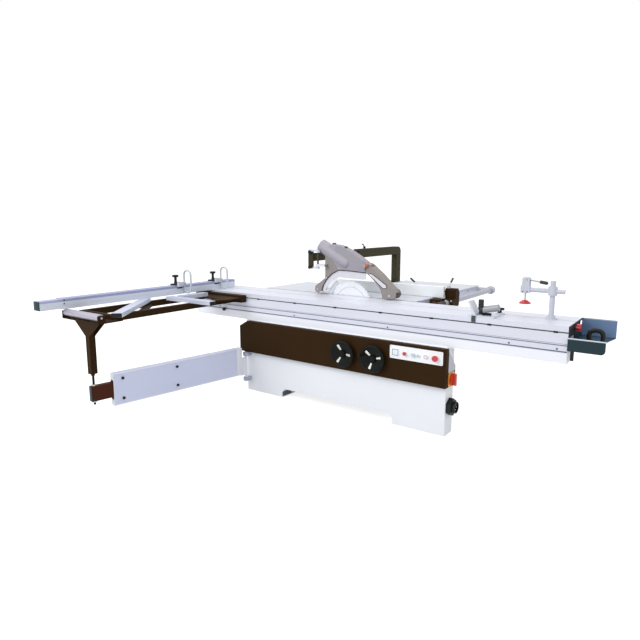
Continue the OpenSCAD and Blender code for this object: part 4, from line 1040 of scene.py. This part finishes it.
@dataclass
class Beam:
    """Fittings of the long beam and its trough; a row of screws is name, count, first X and gap."""

    front: float = -400.5
    # Painted shade: a strip at the back of the slot.
    slot_box: Box = ((-1553.0, -397.5, 688.4), (1643.0, -393.5, 695.6))
    end_box: Box = ((1645.0, -400.0, 622.0), (1648.5, -241.0, 702.0))
    strap_box: Box = ((1664.0, -414.5, 648.0), (1684.0, -411.5, 704.0))
    # Painted shadow of the gap between the beam and the carriage, on the beam's face.
    gap_shadow_box: Box = ((-1553.0, -400.8, 727.0), (1643.0, -399.5, 733.0))
    # Stays below the slab and behind the push handle, so that the carriage runs past it.
    trough_box: Box = ((1646.0, -222.0, 733.0), (1649.0, -16.0, 806.0))
    screw_rows: tuple[tuple[str, int, float, float], ...] = (
        ("beam_screws", 4, -1254.0, 854.0), ("beam_end_screws", 2, -1550.0, 3138.0))
    screw_z: float = 706.0
    screw_r: float = 6.0
    knob: Pair = (-1196.0, 686.0)
    knob_profile: Outline = ((7.0, -2.0), (7.0, 5.0), (15.0, 7.0), (16.0, 12.0), (14.0, 18.0), (0.0, 20.0))

    def build(self) -> None:
        """Paint shade in the slot and along the gap at the top, close the ends and add the screws and knob.
        """
        Form().block(*self.slot_box).piece("beam_slot_painted_shade", RECESS_SHADE_GREY, "stand", Slot.PALE)
        Form().block(*self.end_box, round_mm=2.0).piece("beam_end_plate", WHITE_ENAMEL, "stand", Slot.WHITE)
        Form().block(*self.strap_box).piece("trough_strap", BLACK_ABS, "stand", Slot.BLACK)
        Form().block(*self.gap_shadow_box, round_mm=0.2).piece("beam_gap_painted_shadow", RECESS_SHADE_GREY, "stand", Slot.PALE)
        for name, count, x, gap in self.screw_rows:
            Row(name, count, (gap, 0.0, 0.0), SCREW_ZINC, "stand", Slot.STEEL).build(
                pan_head((x, self.front, self.screw_z), Axis.Y, -1.0, self.screw_r))
        Form().block(*self.trough_box).piece("trough_end_plate", TEAL_ABS, "stand", Slot.BLACK)
        Form().lathe(self.knob_profile, (self.knob[0], self.front, self.knob[1]), Axis.Y, -1.0).piece(
            "beam_slot_knob", BLACK_ABS, "stand", Slot.BLACK)


@dataclass
class Carriage:
    """Slot liner and clips of the sliding carriage, its handle, and the clamp's and shoe's fittings."""

    dark_plate_box: Box = ((-1553.0, -398.0, 803.4), (1643.0, -395.0, 810.6))
    clip_box: Box = ((-802.0, -405.0, 801.0), (-776.0, -400.5, 812.4))
    clip_gap: float = 394.0
    clips: int = 7
    head_screw: Point = (1320.0, -206.0, 1008.0)
    head_screw_gap: float = 26.0
    head_screw_r: float = 4.0
    shoe_box: Box = ((1091.0, -342.0, 854.0), (1170.0, -330.0, 869.0))
    bar_half: float = 12.0
    bar_thick: float = 8.0
    grip_r: float = 14.0
    grip_foot: float = 4.0
    grip_end: float = 14.5
    grip_top: float = 15.5
    # The grip's middle line, from its left leg and its crown.
    arch: Outline = ((0.0, -26.0), (5.0, -12.0), (16.0, -3.0), (31.0, 0.0), (46.0, -1.0), (62.0, -5.0),
                     (72.0, -15.0), (76.0, -30.0))

    def build(self) -> None:
        """Line the slot and add the clips, the handle and the small fittings."""
        Form().block(*self.dark_plate_box).piece("carriage_slot_liner", LINER_PVC, "carriage", Slot.BLACK)
        Row("carriage_clips", self.clips, (self.clip_gap, 0.0, 0.0), BLACK_ABS, "carriage",
            Slot.BLACK).build(Form().block(*self.clip_box, round_mm=3.0))
        self.handle()
        Row("clamp_head_screws", 2, (self.head_screw_gap, 0.0, 0.0), BLACK_ABS, "clamp", Slot.BLACK).build(
            pan_head(self.head_screw, Axis.Y, -1.0, self.head_screw_r))
        Form().block(*self.shoe_box, round_mm=3.0).piece("shoe_rail", BLACK_ABS, "shoe", Slot.BLACK)

    def handle(self) -> None:
        """Moulded arch handle on its flat bar, in place of the plain bent one."""
        low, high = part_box("push_handle")
        y = (low[1] + high[1]) / 2 / MM
        foot = low[2] / MM
        right = high[0] / MM - self.grip_end
        left = right - self.arch[-1][0]
        crown = high[2] / MM - self.grip_top
        form = Form().block((low[0] / MM, y - self.bar_half, foot),
                            (high[0] / MM, y + self.bar_half, foot + self.bar_thick), round_mm=3.0)
        path = [(left, y, foot + self.grip_foot)]
        path += [(left + along, y, crown + up) for along, up in self.arch]
        path.append((right, y, foot + self.grip_foot))
        form.pipe(path, self.grip_r, sides=18)
        made = form.piece("arch_handle", BLACK_ABS, "carriage", Slot.BLACK)
        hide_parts("push_handle")


@dataclass
class Outrigger:
    """End caps of the slats and bolts of the frame; a slat's end is X and Y, its run a direction."""

    slat_z: Pair = (816.0, 844.0)
    cap_thick: float = 6.0
    cross_end: Pair = (-794.0, -905.0)
    cross_half: float = 29.0
    long_end: Pair = (-905.0, -1665.0)
    long_half: float = 34.0
    long_run: Pair = (-480.0, 585.0)
    bolts: int = 4
    bolt: Point = (-1440.0, -460.5, 800.0)
    bolt_gap: float = 150.0
    bolt_r: float = 7.0

    def build(self) -> None:
        """Cap the slats and bolt the frame's rail to the carriage."""
        self.cap(self.cross_end, self.cross_half).piece(
            "slat_cap_cross", BLACK_ABS, "carriage", Slot.BLACK)
        heading = math.degrees(math.atan2(self.long_run[1], self.long_run[0]))
        self.cap(self.long_end, self.long_half).turn(heading, (*self.long_end, 0.0), Axis.Z).piece(
            "slat_cap_long", BLACK_ABS, "carriage", Slot.BLACK)
        Row("rail_bolts", self.bolts, (self.bolt_gap, 0.0, 0.0), STEEL, "carriage", Slot.STEEL).build(
            pan_head(self.bolt, Axis.Y, -1.0, self.bolt_r))

    def cap(self, end: Pair, half: float) -> Form:
        """Cap on the left end of a slat along X.

        Args:
            end: X and Y of the cap's inner face.
            half: Half of the cap's width.

        Returns:
            The cap's form.
        """
        x, y = end
        low, high = self.slat_z
        return Form().block((x - self.cap_thick, y - half, low), (x, y + half, high), round_mm=2.0)


@dataclass
class CrosscutFence:
    """End cap, seam screws, scale, painted shade in the grooves and stop loops of the crosscut fence."""

    cap_box: Box = ((-1435.0, -1949.0, 850.5), (-1360.5, -1945.0, 913.0))
    seam_screw: Point = (-1355.0, -1776.0, 884.0)
    seam_gap: float = 24.0
    seam_r: float = 5.0
    # Painted shade in the grooves on the fence's top.
    top_line_box: Box = ((-1419.0, -1790.0, 917.4), (-1415.0, -110.0, 918.2))
    top_lines: int = 3
    top_line_gap: float = 18.0
    # Painted shade in the two grooves of the fence's face.
    face_line_box: Box = ((-1355.6, -1790.0, 901.0), (-1354.7, -110.0, 903.4))
    face_line_gap: float = 8.0
    # Scale lines are 0.3 mm, drawn nearly 2 mm wide so that they show.
    mark_box: Box = ((-1372.0, -1770.0, 917.5), (-1361.0, -1768.4, 918.2))
    mark_gap: float = 20.0
    marks: int = 83
    stop_y: Pair = (-721.0, -297.0)
    loop_low: Pair = (-1345.5, 857.5)
    loop_high: Pair = (-1260.5, 1045.5)
    loop_bend: float = 39.5
    loop_steps: int = 8
    wire_r: float = 8.0

    def build(self) -> None:
        """Dress the fence, its telescopic end and its stops."""
        Form().block(*self.cap_box, round_mm=2.0).piece("fence_end_cap", TEAL_ABS, "fence_end", Slot.BLACK)
        Row("fence_seam_screws", 2, (0.0, 0.0, self.seam_gap), BLACK_ABS, "fence", Slot.BLACK).build(
            pan_head(self.seam_screw, Axis.X, 1.0, self.seam_r))
        Row("fence_top_groove_shade", self.top_lines, (self.top_line_gap, 0.0, 0.0), RECESS_SHADE_GREY, "fence",
            Slot.PALE).build(Form().block(*self.top_line_box, round_mm=0.1))
        Row("fence_face_groove_shade", 2, (0.0, 0.0, self.face_line_gap), GROOVE_SHADE_BLUE, "fence", Slot.PALE).build(
            Form().block(*self.face_line_box, round_mm=0.1))
        for name, y in zip(("stop_1", "stop_2"), self.stop_y):
            Form().pipe(self.loop(y), self.wire_r, closed=True).piece(
                name + "_loop", PADDLE_ENAMEL, name + "_flip", Slot.PALE)
        Row("fence_scale", self.marks, (0.0, self.mark_gap, 0.0), BLACK_ABS, "fence", Slot.BLACK).build(
            Form().block(*self.mark_box, round_mm=0.05))

    def loop(self, y: float) -> list[tuple[float, float, float]]:
        """Middle line of a flip stop's ring.

        Args:
            y: Middle of the ring's thickness.

        Returns:
            Points round the ring.
        """
        bend = self.loop_bend
        left, low = (v + bend for v in self.loop_low)
        right, high = (v - bend for v in self.loop_high)
        points = []
        for quarter, (x, z) in enumerate(((right, high), (left, high), (left, low), (right, low))):
            for i in range(self.loop_steps + 1):
                angle = math.pi / 2 * (quarter + i / self.loop_steps)
                points.append((x + bend * math.cos(angle), y, z + bend * math.sin(angle)))
        return points


@dataclass
class SwingArm:
    """Plates, lips, bolt caps and mouth of the swing arm; its parts are drawn along -Y, then turned."""

    hinge: tuple[float, float, float] = (-889.0, -462.0, 0.0)
    heading: float = -8.51
    side: float = 25.0
    mouth_at: float = 1180.0
    mouth_thick: float = 2.0
    mouth_z: Pair = (160.0, 395.0)
    hole_half: float = 20.9
    hole_z: Pair = (205.0, 347.0)
    wiper_across: Pair = (-20.8, 20.8)
    wiper_along: Pair = (1175.5, 1179.0)
    wiper_z: tuple[Pair, Pair] = ((201.0, 225.3), (333.7, 351.0))
    root_across: Pair = (25.0, 26.5)
    root_along: Pair = (62.0, 112.0)
    root_z: Pair = (162.0, 393.0)
    tip_across: Pair = (-20.0, 20.0)
    tip_along: Pair = (1332.4, 1336.4)
    tip_z: Pair = (226.0, 333.0)
    lip_near: float = 24.7
    lip_far: float = 26.3
    lip_along: Pair = (113.0, 1181.0)
    lip_z: Pair = (160.2, 167.8)
    lip_gap: float = 227.0
    bolt_along: Pair = (1114.0, 680.0)
    bolt_z: Pair = (206.0, 353.0)
    bolt_profile: Outline = ((10.5, -0.5), (10.5, 7.0), (8.5, 9.5), (0.0, 9.8))
    nut: Point = (-1083.0, -1758.0, 216.0)
    nut_profile: Outline = ((13.2, -0.2), (15.0, 0.8), (15.0, 9.4), (13.2, 10.4))
    nut_gap: float = 117.0

    def build(self) -> None:
        """Dress both arms."""
        root = Form().block(*self.box(self.root_across, self.root_along, self.root_z))
        self.swung(root).piece("arm_root_plate", WHITE_ENAMEL, "arm", Slot.WHITE)
        self.bolts()
        self.mouth()
        for name, across in (("right", (self.lip_near, self.lip_far)),
                             ("left", (-self.lip_far, -self.lip_near))):
            lip = Form().block(*self.box(across, self.lip_along, self.lip_z), round_mm=0.5)
            Row("arm_lips_" + name, 2, (0.0, 0.0, self.lip_gap), WHITE_ENAMEL, "arm", Slot.WHITE).build(
                self.swung(lip))
        tip = Form().block(*self.box(self.tip_across, self.tip_along, self.tip_z))
        self.swung(tip).piece("arm_tip_plate", TEAL_ABS, "arm_tip", Slot.BLACK)
        Row("pivot_nuts", 2, (0.0, 0.0, self.nut_gap), CHROME, "arm_tip", Slot.STEEL).build(
            Form().lathe(self.nut_profile, self.nut, Axis.Z, sides=6))

    def box(self, across: Pair, along: Pair, levels: Pair) -> Box:
        """Corners of a box on the arm before it is turned.

        Args:
            across: Its sides from the arm's middle plane.
            along: Its ends from the hinge.
            levels: Its bottom and top.

        Returns:
            Lowest and highest corner.
        """
        x, y, _ = self.hinge
        return (x + across[0], y - along[1], levels[0]), (x + across[1], y - along[0], levels[1])

    def swung(self, form: Form) -> Form:
        """Turn a form about the hinge to the arm's heading."""
        return form.turn(self.heading, self.hinge, Axis.Z)

    def mouth(self) -> None:
        """Frame round the open end, with black wipers above and below the inner arm."""
        x, y, _ = self.hinge
        outer, inner = (
            [(z[0], x - half), (z[0], x + half), (z[1], x + half), (z[1], x - half)]
            for half, z in ((self.side, self.mouth_z), (self.hole_half, self.hole_z)))
        end = y - self.mouth_at
        self.swung(Form().collar(outer, inner, Axis.Y, end, end - self.mouth_thick)).piece(
            "arm_mouth_frame", WHITE_ENAMEL, "arm", Slot.WHITE)
        wipers = Form()
        for levels in self.wiper_z:
            wipers.block(*self.box(self.wiper_across, self.wiper_along, levels))
        self.swung(wipers).piece("arm_mouth_wipers", BLACK_ABS, "arm", Slot.BLACK)

    def bolts(self) -> None:
        """Cover the guide bolts' heads on both sides with caps."""
        x, y, _ = self.hinge
        heading = math.radians(self.heading)
        gap = self.bolt_along[0] - self.bolt_along[1]
        step = (-math.sin(heading) * gap, math.cos(heading) * gap, 0.0)
        for name, z in zip(("low", "high"), self.bolt_z):
            for side, sign in (("right", 1.0), ("left", -1.0)):
                place = (x + sign * self.side, y - self.bolt_along[0], z)
                Row(f"arm_caps_{name}_{side}", 2, step, BLACK_ABS, "arm", Slot.BLACK).build(
                    self.swung(Form().lathe(self.bolt_profile, place, Axis.X, sign)))


@dataclass
class Guard:
    """Rim, shield, clips and knob of the overhead guard; outlines are X and height above the table."""

    table: float = 845.0
    side: float = -38.5
    rim: Outline = (
        (52.0, 201.0), (19.0, 203.0), (-97.0, 209.0), (-217.0, 211.0), (-284.0, 177.0), (-340.0, 125.0),
        (-372.0, 76.0), (-388.0, 28.0))
    rim_r: float = 3.2
    # Painted light: the shield runs on down the hood's left leg to its foot, a pale sheet over the shade
    # inside the leg.
    shield: Outline = (
        (-320.0, 150.0), (-217.0, 216.0), (19.0, 208.0), (48.0, 206.0), (48.0, 150.0), (19.0, 144.0),
        (-217.0, 150.0), (-286.0, 114.0), (-300.0, 105.0), (-335.0, 60.0), (-352.0, 25.0), (-385.0, 25.0),
        (-368.0, 80.0))
    shield_y: Pair = (-33.0, -31.0)
    clip_boxes: tuple[Box, ...] = (((-300.0, -11.0, 1262.0), (-272.0, 11.0, 1277.0)),
                                   ((-182.0, -11.0, 1240.0), (-158.0, 11.0, 1252.0)))
    nozzle: Point = (-149.4, 0.0, 1112.6)
    nozzle_lean: float = 117.7
    nozzle_profile: Outline = (
        (56.0, -6.0), (56.0, 0.0), (53.5, 14.0), (46.0, 27.0), (33.0, 37.0), (17.0, 43.0), (0.0, 45.0))
    knob: Point = (66.0, -45.0, 1112.0)
    knob_profile: Outline = ((9.0, 0.0), (14.0, 1.5), (15.0, 6.0), (14.0, 13.0), (10.0, 16.5), (0.0, 17.0))
    screws: tuple[Point, ...] = ((-434.0, -38.0, 881.0), (-341.0, -38.0, 983.0), (-216.0, -38.0, 1067.0))
    screw_profile: Outline = ((6.0, -0.5), (6.0, 1.5), (4.0, 3.0), (0.0, 3.3))
    bezel: Outline = ((88.0, 204.0), (119.0, 194.0), (243.0, 115.0), (243.0, 87.0), (207.0, 85.0),
                      (122.0, 153.0), (77.0, 188.0))
    bezel_y: Pair = (-44.5, -43.5)
    window: Outline = ((88.0, 199.0), (117.0, 189.0), (238.0, 112.0), (238.0, 92.0), (210.0, 90.0),
                       (125.0, 158.0), (82.0, 187.0))
    window_y: Pair = (-45.2, -44.4)
    seam: tuple[Point, ...] = ((60.0, -44.2, 1108.0), (52.0, -44.2, 1085.0), (46.0, -44.2, 1062.0))
    seam_r: float = 1.8
    bolt: Point = (266.0, -44.0, 877.0)
    bolt_profile: Outline = ((9.0, -0.5), (9.0, 2.0), (6.0, 3.5), (0.0, 3.8))

    def build(self) -> None:
        """Dress the hood, then the flap."""
        Form().pipe([(x, self.side, self.table + h) for x, h in self.rim], self.rim_r).piece(
            "hood_rim", BLACK_ABS, "hood", Slot.BLACK)
        self.plate(self.shield, self.shield_y).piece("blade_shield", SHIELD_ACRYLIC, "hood", Slot.PALE)
        clips = Form()
        for box in self.clip_boxes:
            clips.block(*box, round_mm=3.0)
        clips.piece("hood_clips", BLACK_ABS, "hood", Slot.BLACK)
        Form().lathe(self.nozzle_profile, self.nozzle, Axis.Z, sides=40).turn(
            self.nozzle_lean, self.nozzle, Axis.Y).piece("nozzle_end", GUARD_ABS, "hood", Slot.GREY)
        Form().lathe(self.knob_profile, self.knob, Axis.Y, -1.0).piece(
            "hood_knob", ORANGE_CAP, "hood", Slot.RED)
        screws = Form()
        for place in self.screws:
            screws.lathe(self.screw_profile, place, Axis.Y, -1.0, sides=16)
        screws.piece("hood_screws", PADDLE_ENAMEL, "hood", Slot.PALE)
        self.plate(self.bezel, self.bezel_y).piece("flap_bezel", BLACK_ABS, "flap", Slot.BLACK)
        self.plate(self.window, self.window_y).piece("flap_window", SHIELD_ACRYLIC, "flap", Slot.PALE)
        Form().pipe(self.seam, self.seam_r, sides=8).piece("flap_seam", BLACK_ABS, "flap", Slot.BLACK)
        Form().lathe(self.bolt_profile, self.bolt, Axis.Y, -1.0).piece(
            "flap_bolt", PADDLE_ENAMEL, "flap", Slot.PALE)

    def plate(self, outline: Outline, levels: Pair) -> Form:
        """Upright plate of one of the outlines, between two places on Y."""
        return Form().slab([(self.table + h, x) for x, h in outline], Axis.Y, *levels)


@dataclass
class Boom:
    """Knobs at the boom's tip and the clamp on the post's tube."""

    knob: Point = (-481.0, -76.0, 1072.0)
    knob_gap: float = 127.0
    knob_profile: Outline = ((6.0, -1.0), (6.0, 6.0), (15.0, 8.0), (16.0, 14.0), (12.0, 19.0), (0.0, 20.0))
    clamp: Point = (-480.0, 800.0, 1196.0)
    clamp_profile: Outline = ((10.0, -1.0), (10.0, 10.0), (15.0, 12.0), (15.0, 20.0), (0.0, 22.0))
    lever: tuple[Point, ...] = ((-480.0, 800.0, 1210.0), (-480.0, 790.0, 1226.0), (-480.0, 772.0, 1238.0),
                                (-480.0, 756.0, 1240.0))
    lever_r: float = 5.0

    def build(self) -> None:
        """Add the knobs and the clamp."""
        Row("boom_tip_knobs", 2, (0.0, 0.0, self.knob_gap), BLACK_ABS, "boom", Slot.BLACK).build(
            Form().lathe(self.knob_profile, self.knob, Axis.Y, -1.0))
        Form().lathe(self.clamp_profile, self.clamp, Axis.Z).pipe(self.lever, self.lever_r).piece(
            "tube_clamp", BLACK_ABS, "stand", Slot.BLACK)


@dataclass
class RipGuide:
    """Scale on the table's end and bolts of the rip fence's carrier."""

    # Scale lines are 0.3 mm, drawn 2 mm wide so that they show.
    mark_box: Box = ((477.5, 80.0, 828.0), (478.3, 82.0, 840.0))
    mark_gap: float = 20.0
    marks: int = 62
    bolt: Point = (590.0, 300.0, 829.0)
    bolt_gap: float = 46.0
    bolt_r: float = 6.0

    def build(self) -> None:
        """Mark the scale and bolt the carrier."""
        Row("edge_scale_lines", self.marks, (0.0, self.mark_gap, 0.0), BLACK_ABS, "stand",
            Slot.BLACK).build(Form().block(*self.mark_box, round_mm=0.05))
        Row("carrier_bolts", 2, (self.bolt_gap, 0.0, 0.0), STEEL, "rip", Slot.STEEL).build(
            pan_head(self.bolt, Axis.Y, -1.0, self.bolt_r))


@dataclass
class Studio:
    """Floor, light and camera; lengths are in metres, and a lamp is name, place, side and watts."""

    floor_half: float = 30.0
    floor_colour: str = "#c4c4c4"
    floor_glow: float = 0.74
    sky_colour: str = "#ffffff"
    sky_light: float = 0.72
    lamps: tuple[tuple[str, Point, float, float], ...] = (
        ("key", (-2.6, -5.2, 4.2), 4.0, 210.0), ("fill", (5.0, -2.5, 2.6), 3.0, 35.0),
        ("top", (0.0, 0.6, 5.0), 4.0, 70.0))
    aim: Point = (0.0, -0.2, 0.7)
    eye: Point = (2.272, -3.712, 1.434)
    pitch_deg: float = 9.14
    heading_deg: float = 36.1
    lens_mm: float = 30.066
    sensor_mm: float = 36.0
    shift_px: float = -10.0
    picture_px: float = 640.0

    def build(self) -> None:
        """Make the whole stage: key lamp at the front left, a fill on the right and one overhead."""
        self.floor()
        self.world()
        for lamp in self.lamps:
            self.lamp(*lamp)
        self.camera()

    def floor(self) -> None:
        """Lay a pale floor that shows white to the camera and keeps the shadow."""
        half = self.floor_half
        data = bpy.data.meshes.new("floor")
        corners = [(-half, -half, 0), (half, -half, 0), (half, half, 0), (-half, half, 0)]
        data.from_pydata(corners, [], [(0, 1, 2, 3)])
        material = bpy.data.materials.new("pale_floor")
        material.use_nodes = True
        tree = material.node_tree
        tree.nodes.clear()
        ground = add(tree, "ShaderNodeBsdfDiffuse", {"Color": linear(self.floor_colour)})
        lift = add(tree, "ShaderNodeMath", {0: self.seen(tree), 1: self.floor_glow}, operation="MULTIPLY")
        glow = add(tree, "ShaderNodeEmission", {
            "Color": linear(self.sky_colour), "Strength": lift.outputs["Value"]})
        both = add(tree, "ShaderNodeAddShader", {0: ground.outputs["BSDF"], 1: glow.outputs["Emission"]})
        add(tree, "ShaderNodeOutputMaterial", {"Surface": both.outputs["Shader"]})
        data.materials.append(material)
        obj = bpy.data.objects.new("floor", data)
        bpy.context.scene.collection.objects.link(obj)

    def seen(self, tree: bpy.types.NodeTree) -> bpy.types.NodeSocket:
        """One where the background is seen directly, in a reflection or through glass.

        Args:
            tree: Tree that gets the nodes.

        Returns:
            The socket that holds zero or one.
        """
        path = add(tree, "ShaderNodeLightPath").outputs
        gloss = add(tree, "ShaderNodeMath", {0: path["Is Camera Ray"], 1: path["Is Glossy Ray"]},
                    operation="MAXIMUM")
        glass = add(tree, "ShaderNodeMath", {0: gloss.outputs["Value"], 1: path["Is Transmission Ray"]},
                    operation="MAXIMUM")
        return glass.outputs["Value"]

    def world(self) -> None:
        """White background, with a dimmer even light for the object."""
        world = bpy.data.worlds.new("studio")
        world.use_nodes = True
        tree = world.node_tree
        tree.nodes.clear()
        strength = add(tree, "ShaderNodeMapRange", {
            "Value": self.seen(tree), "To Min": self.sky_light, "To Max": 1.0})
        sky = add(tree, "ShaderNodeBackground", {
            "Color": linear(self.sky_colour), "Strength": strength.outputs["Result"]})
        add(tree, "ShaderNodeOutputWorld", {"Surface": sky.outputs["Background"]})
        bpy.context.scene.world = world

    def lamp(self, name: str, place: Point, size: float, watts: float) -> None:
        """Hang a large soft square lamp that looks at the machine.

        Args:
            name: Name of the lamp.
            place: Its place.
            size: Its side.
            watts: Its power.
        """
        data = bpy.data.lights.new(name, "AREA")
        data.size = size
        data.energy = watts
        obj = bpy.data.objects.new(name, data)
        obj.location = place
        obj.rotation_euler = (Vector(self.aim) - Vector(place)).to_track_quat("-Z", "Y").to_euler()
        bpy.context.scene.collection.objects.link(obj)

    def camera(self) -> None:
        """Stand the camera at the photograph's viewing angle."""
        data = bpy.data.cameras.new("camera")
        data.sensor_fit = "HORIZONTAL"
        data.sensor_width = self.sensor_mm
        data.lens = self.lens_mm
        data.shift_y = self.shift_px / self.picture_px
        obj = bpy.data.objects.new("camera", data)
        obj.location = self.eye
        obj.rotation_euler = (math.radians(90.0 - self.pitch_deg), 0.0, math.radians(self.heading_deg))
        bpy.context.scene.collection.objects.link(obj)
        bpy.context.scene.camera = obj


def main() -> None:
    """Build the stage, coat the solids and add the fittings."""
    logging.basicConfig(level=logging.INFO, format="%(name)s: %(message)s")
    bpy.context.scene.view_settings.view_transform = "Standard"
    Studio().build()
    coat_nodes()
    parts = (Handwheel("tilt", "tilt_wheel", 122.0, (119.0, 359.0, 239.0)),
             Handwheel("lift", "lift_wheel", 381.0, (135.0, 15.0, 255.0)),
             ControlPanel(), Stand(), Beam(), Carriage(), Outrigger(), CrosscutFence(), SwingArm(), Guard(),
             Boom(), RipGuide())
    for part in parts:
        part.build()


if __name__ == "__main__":
    main()
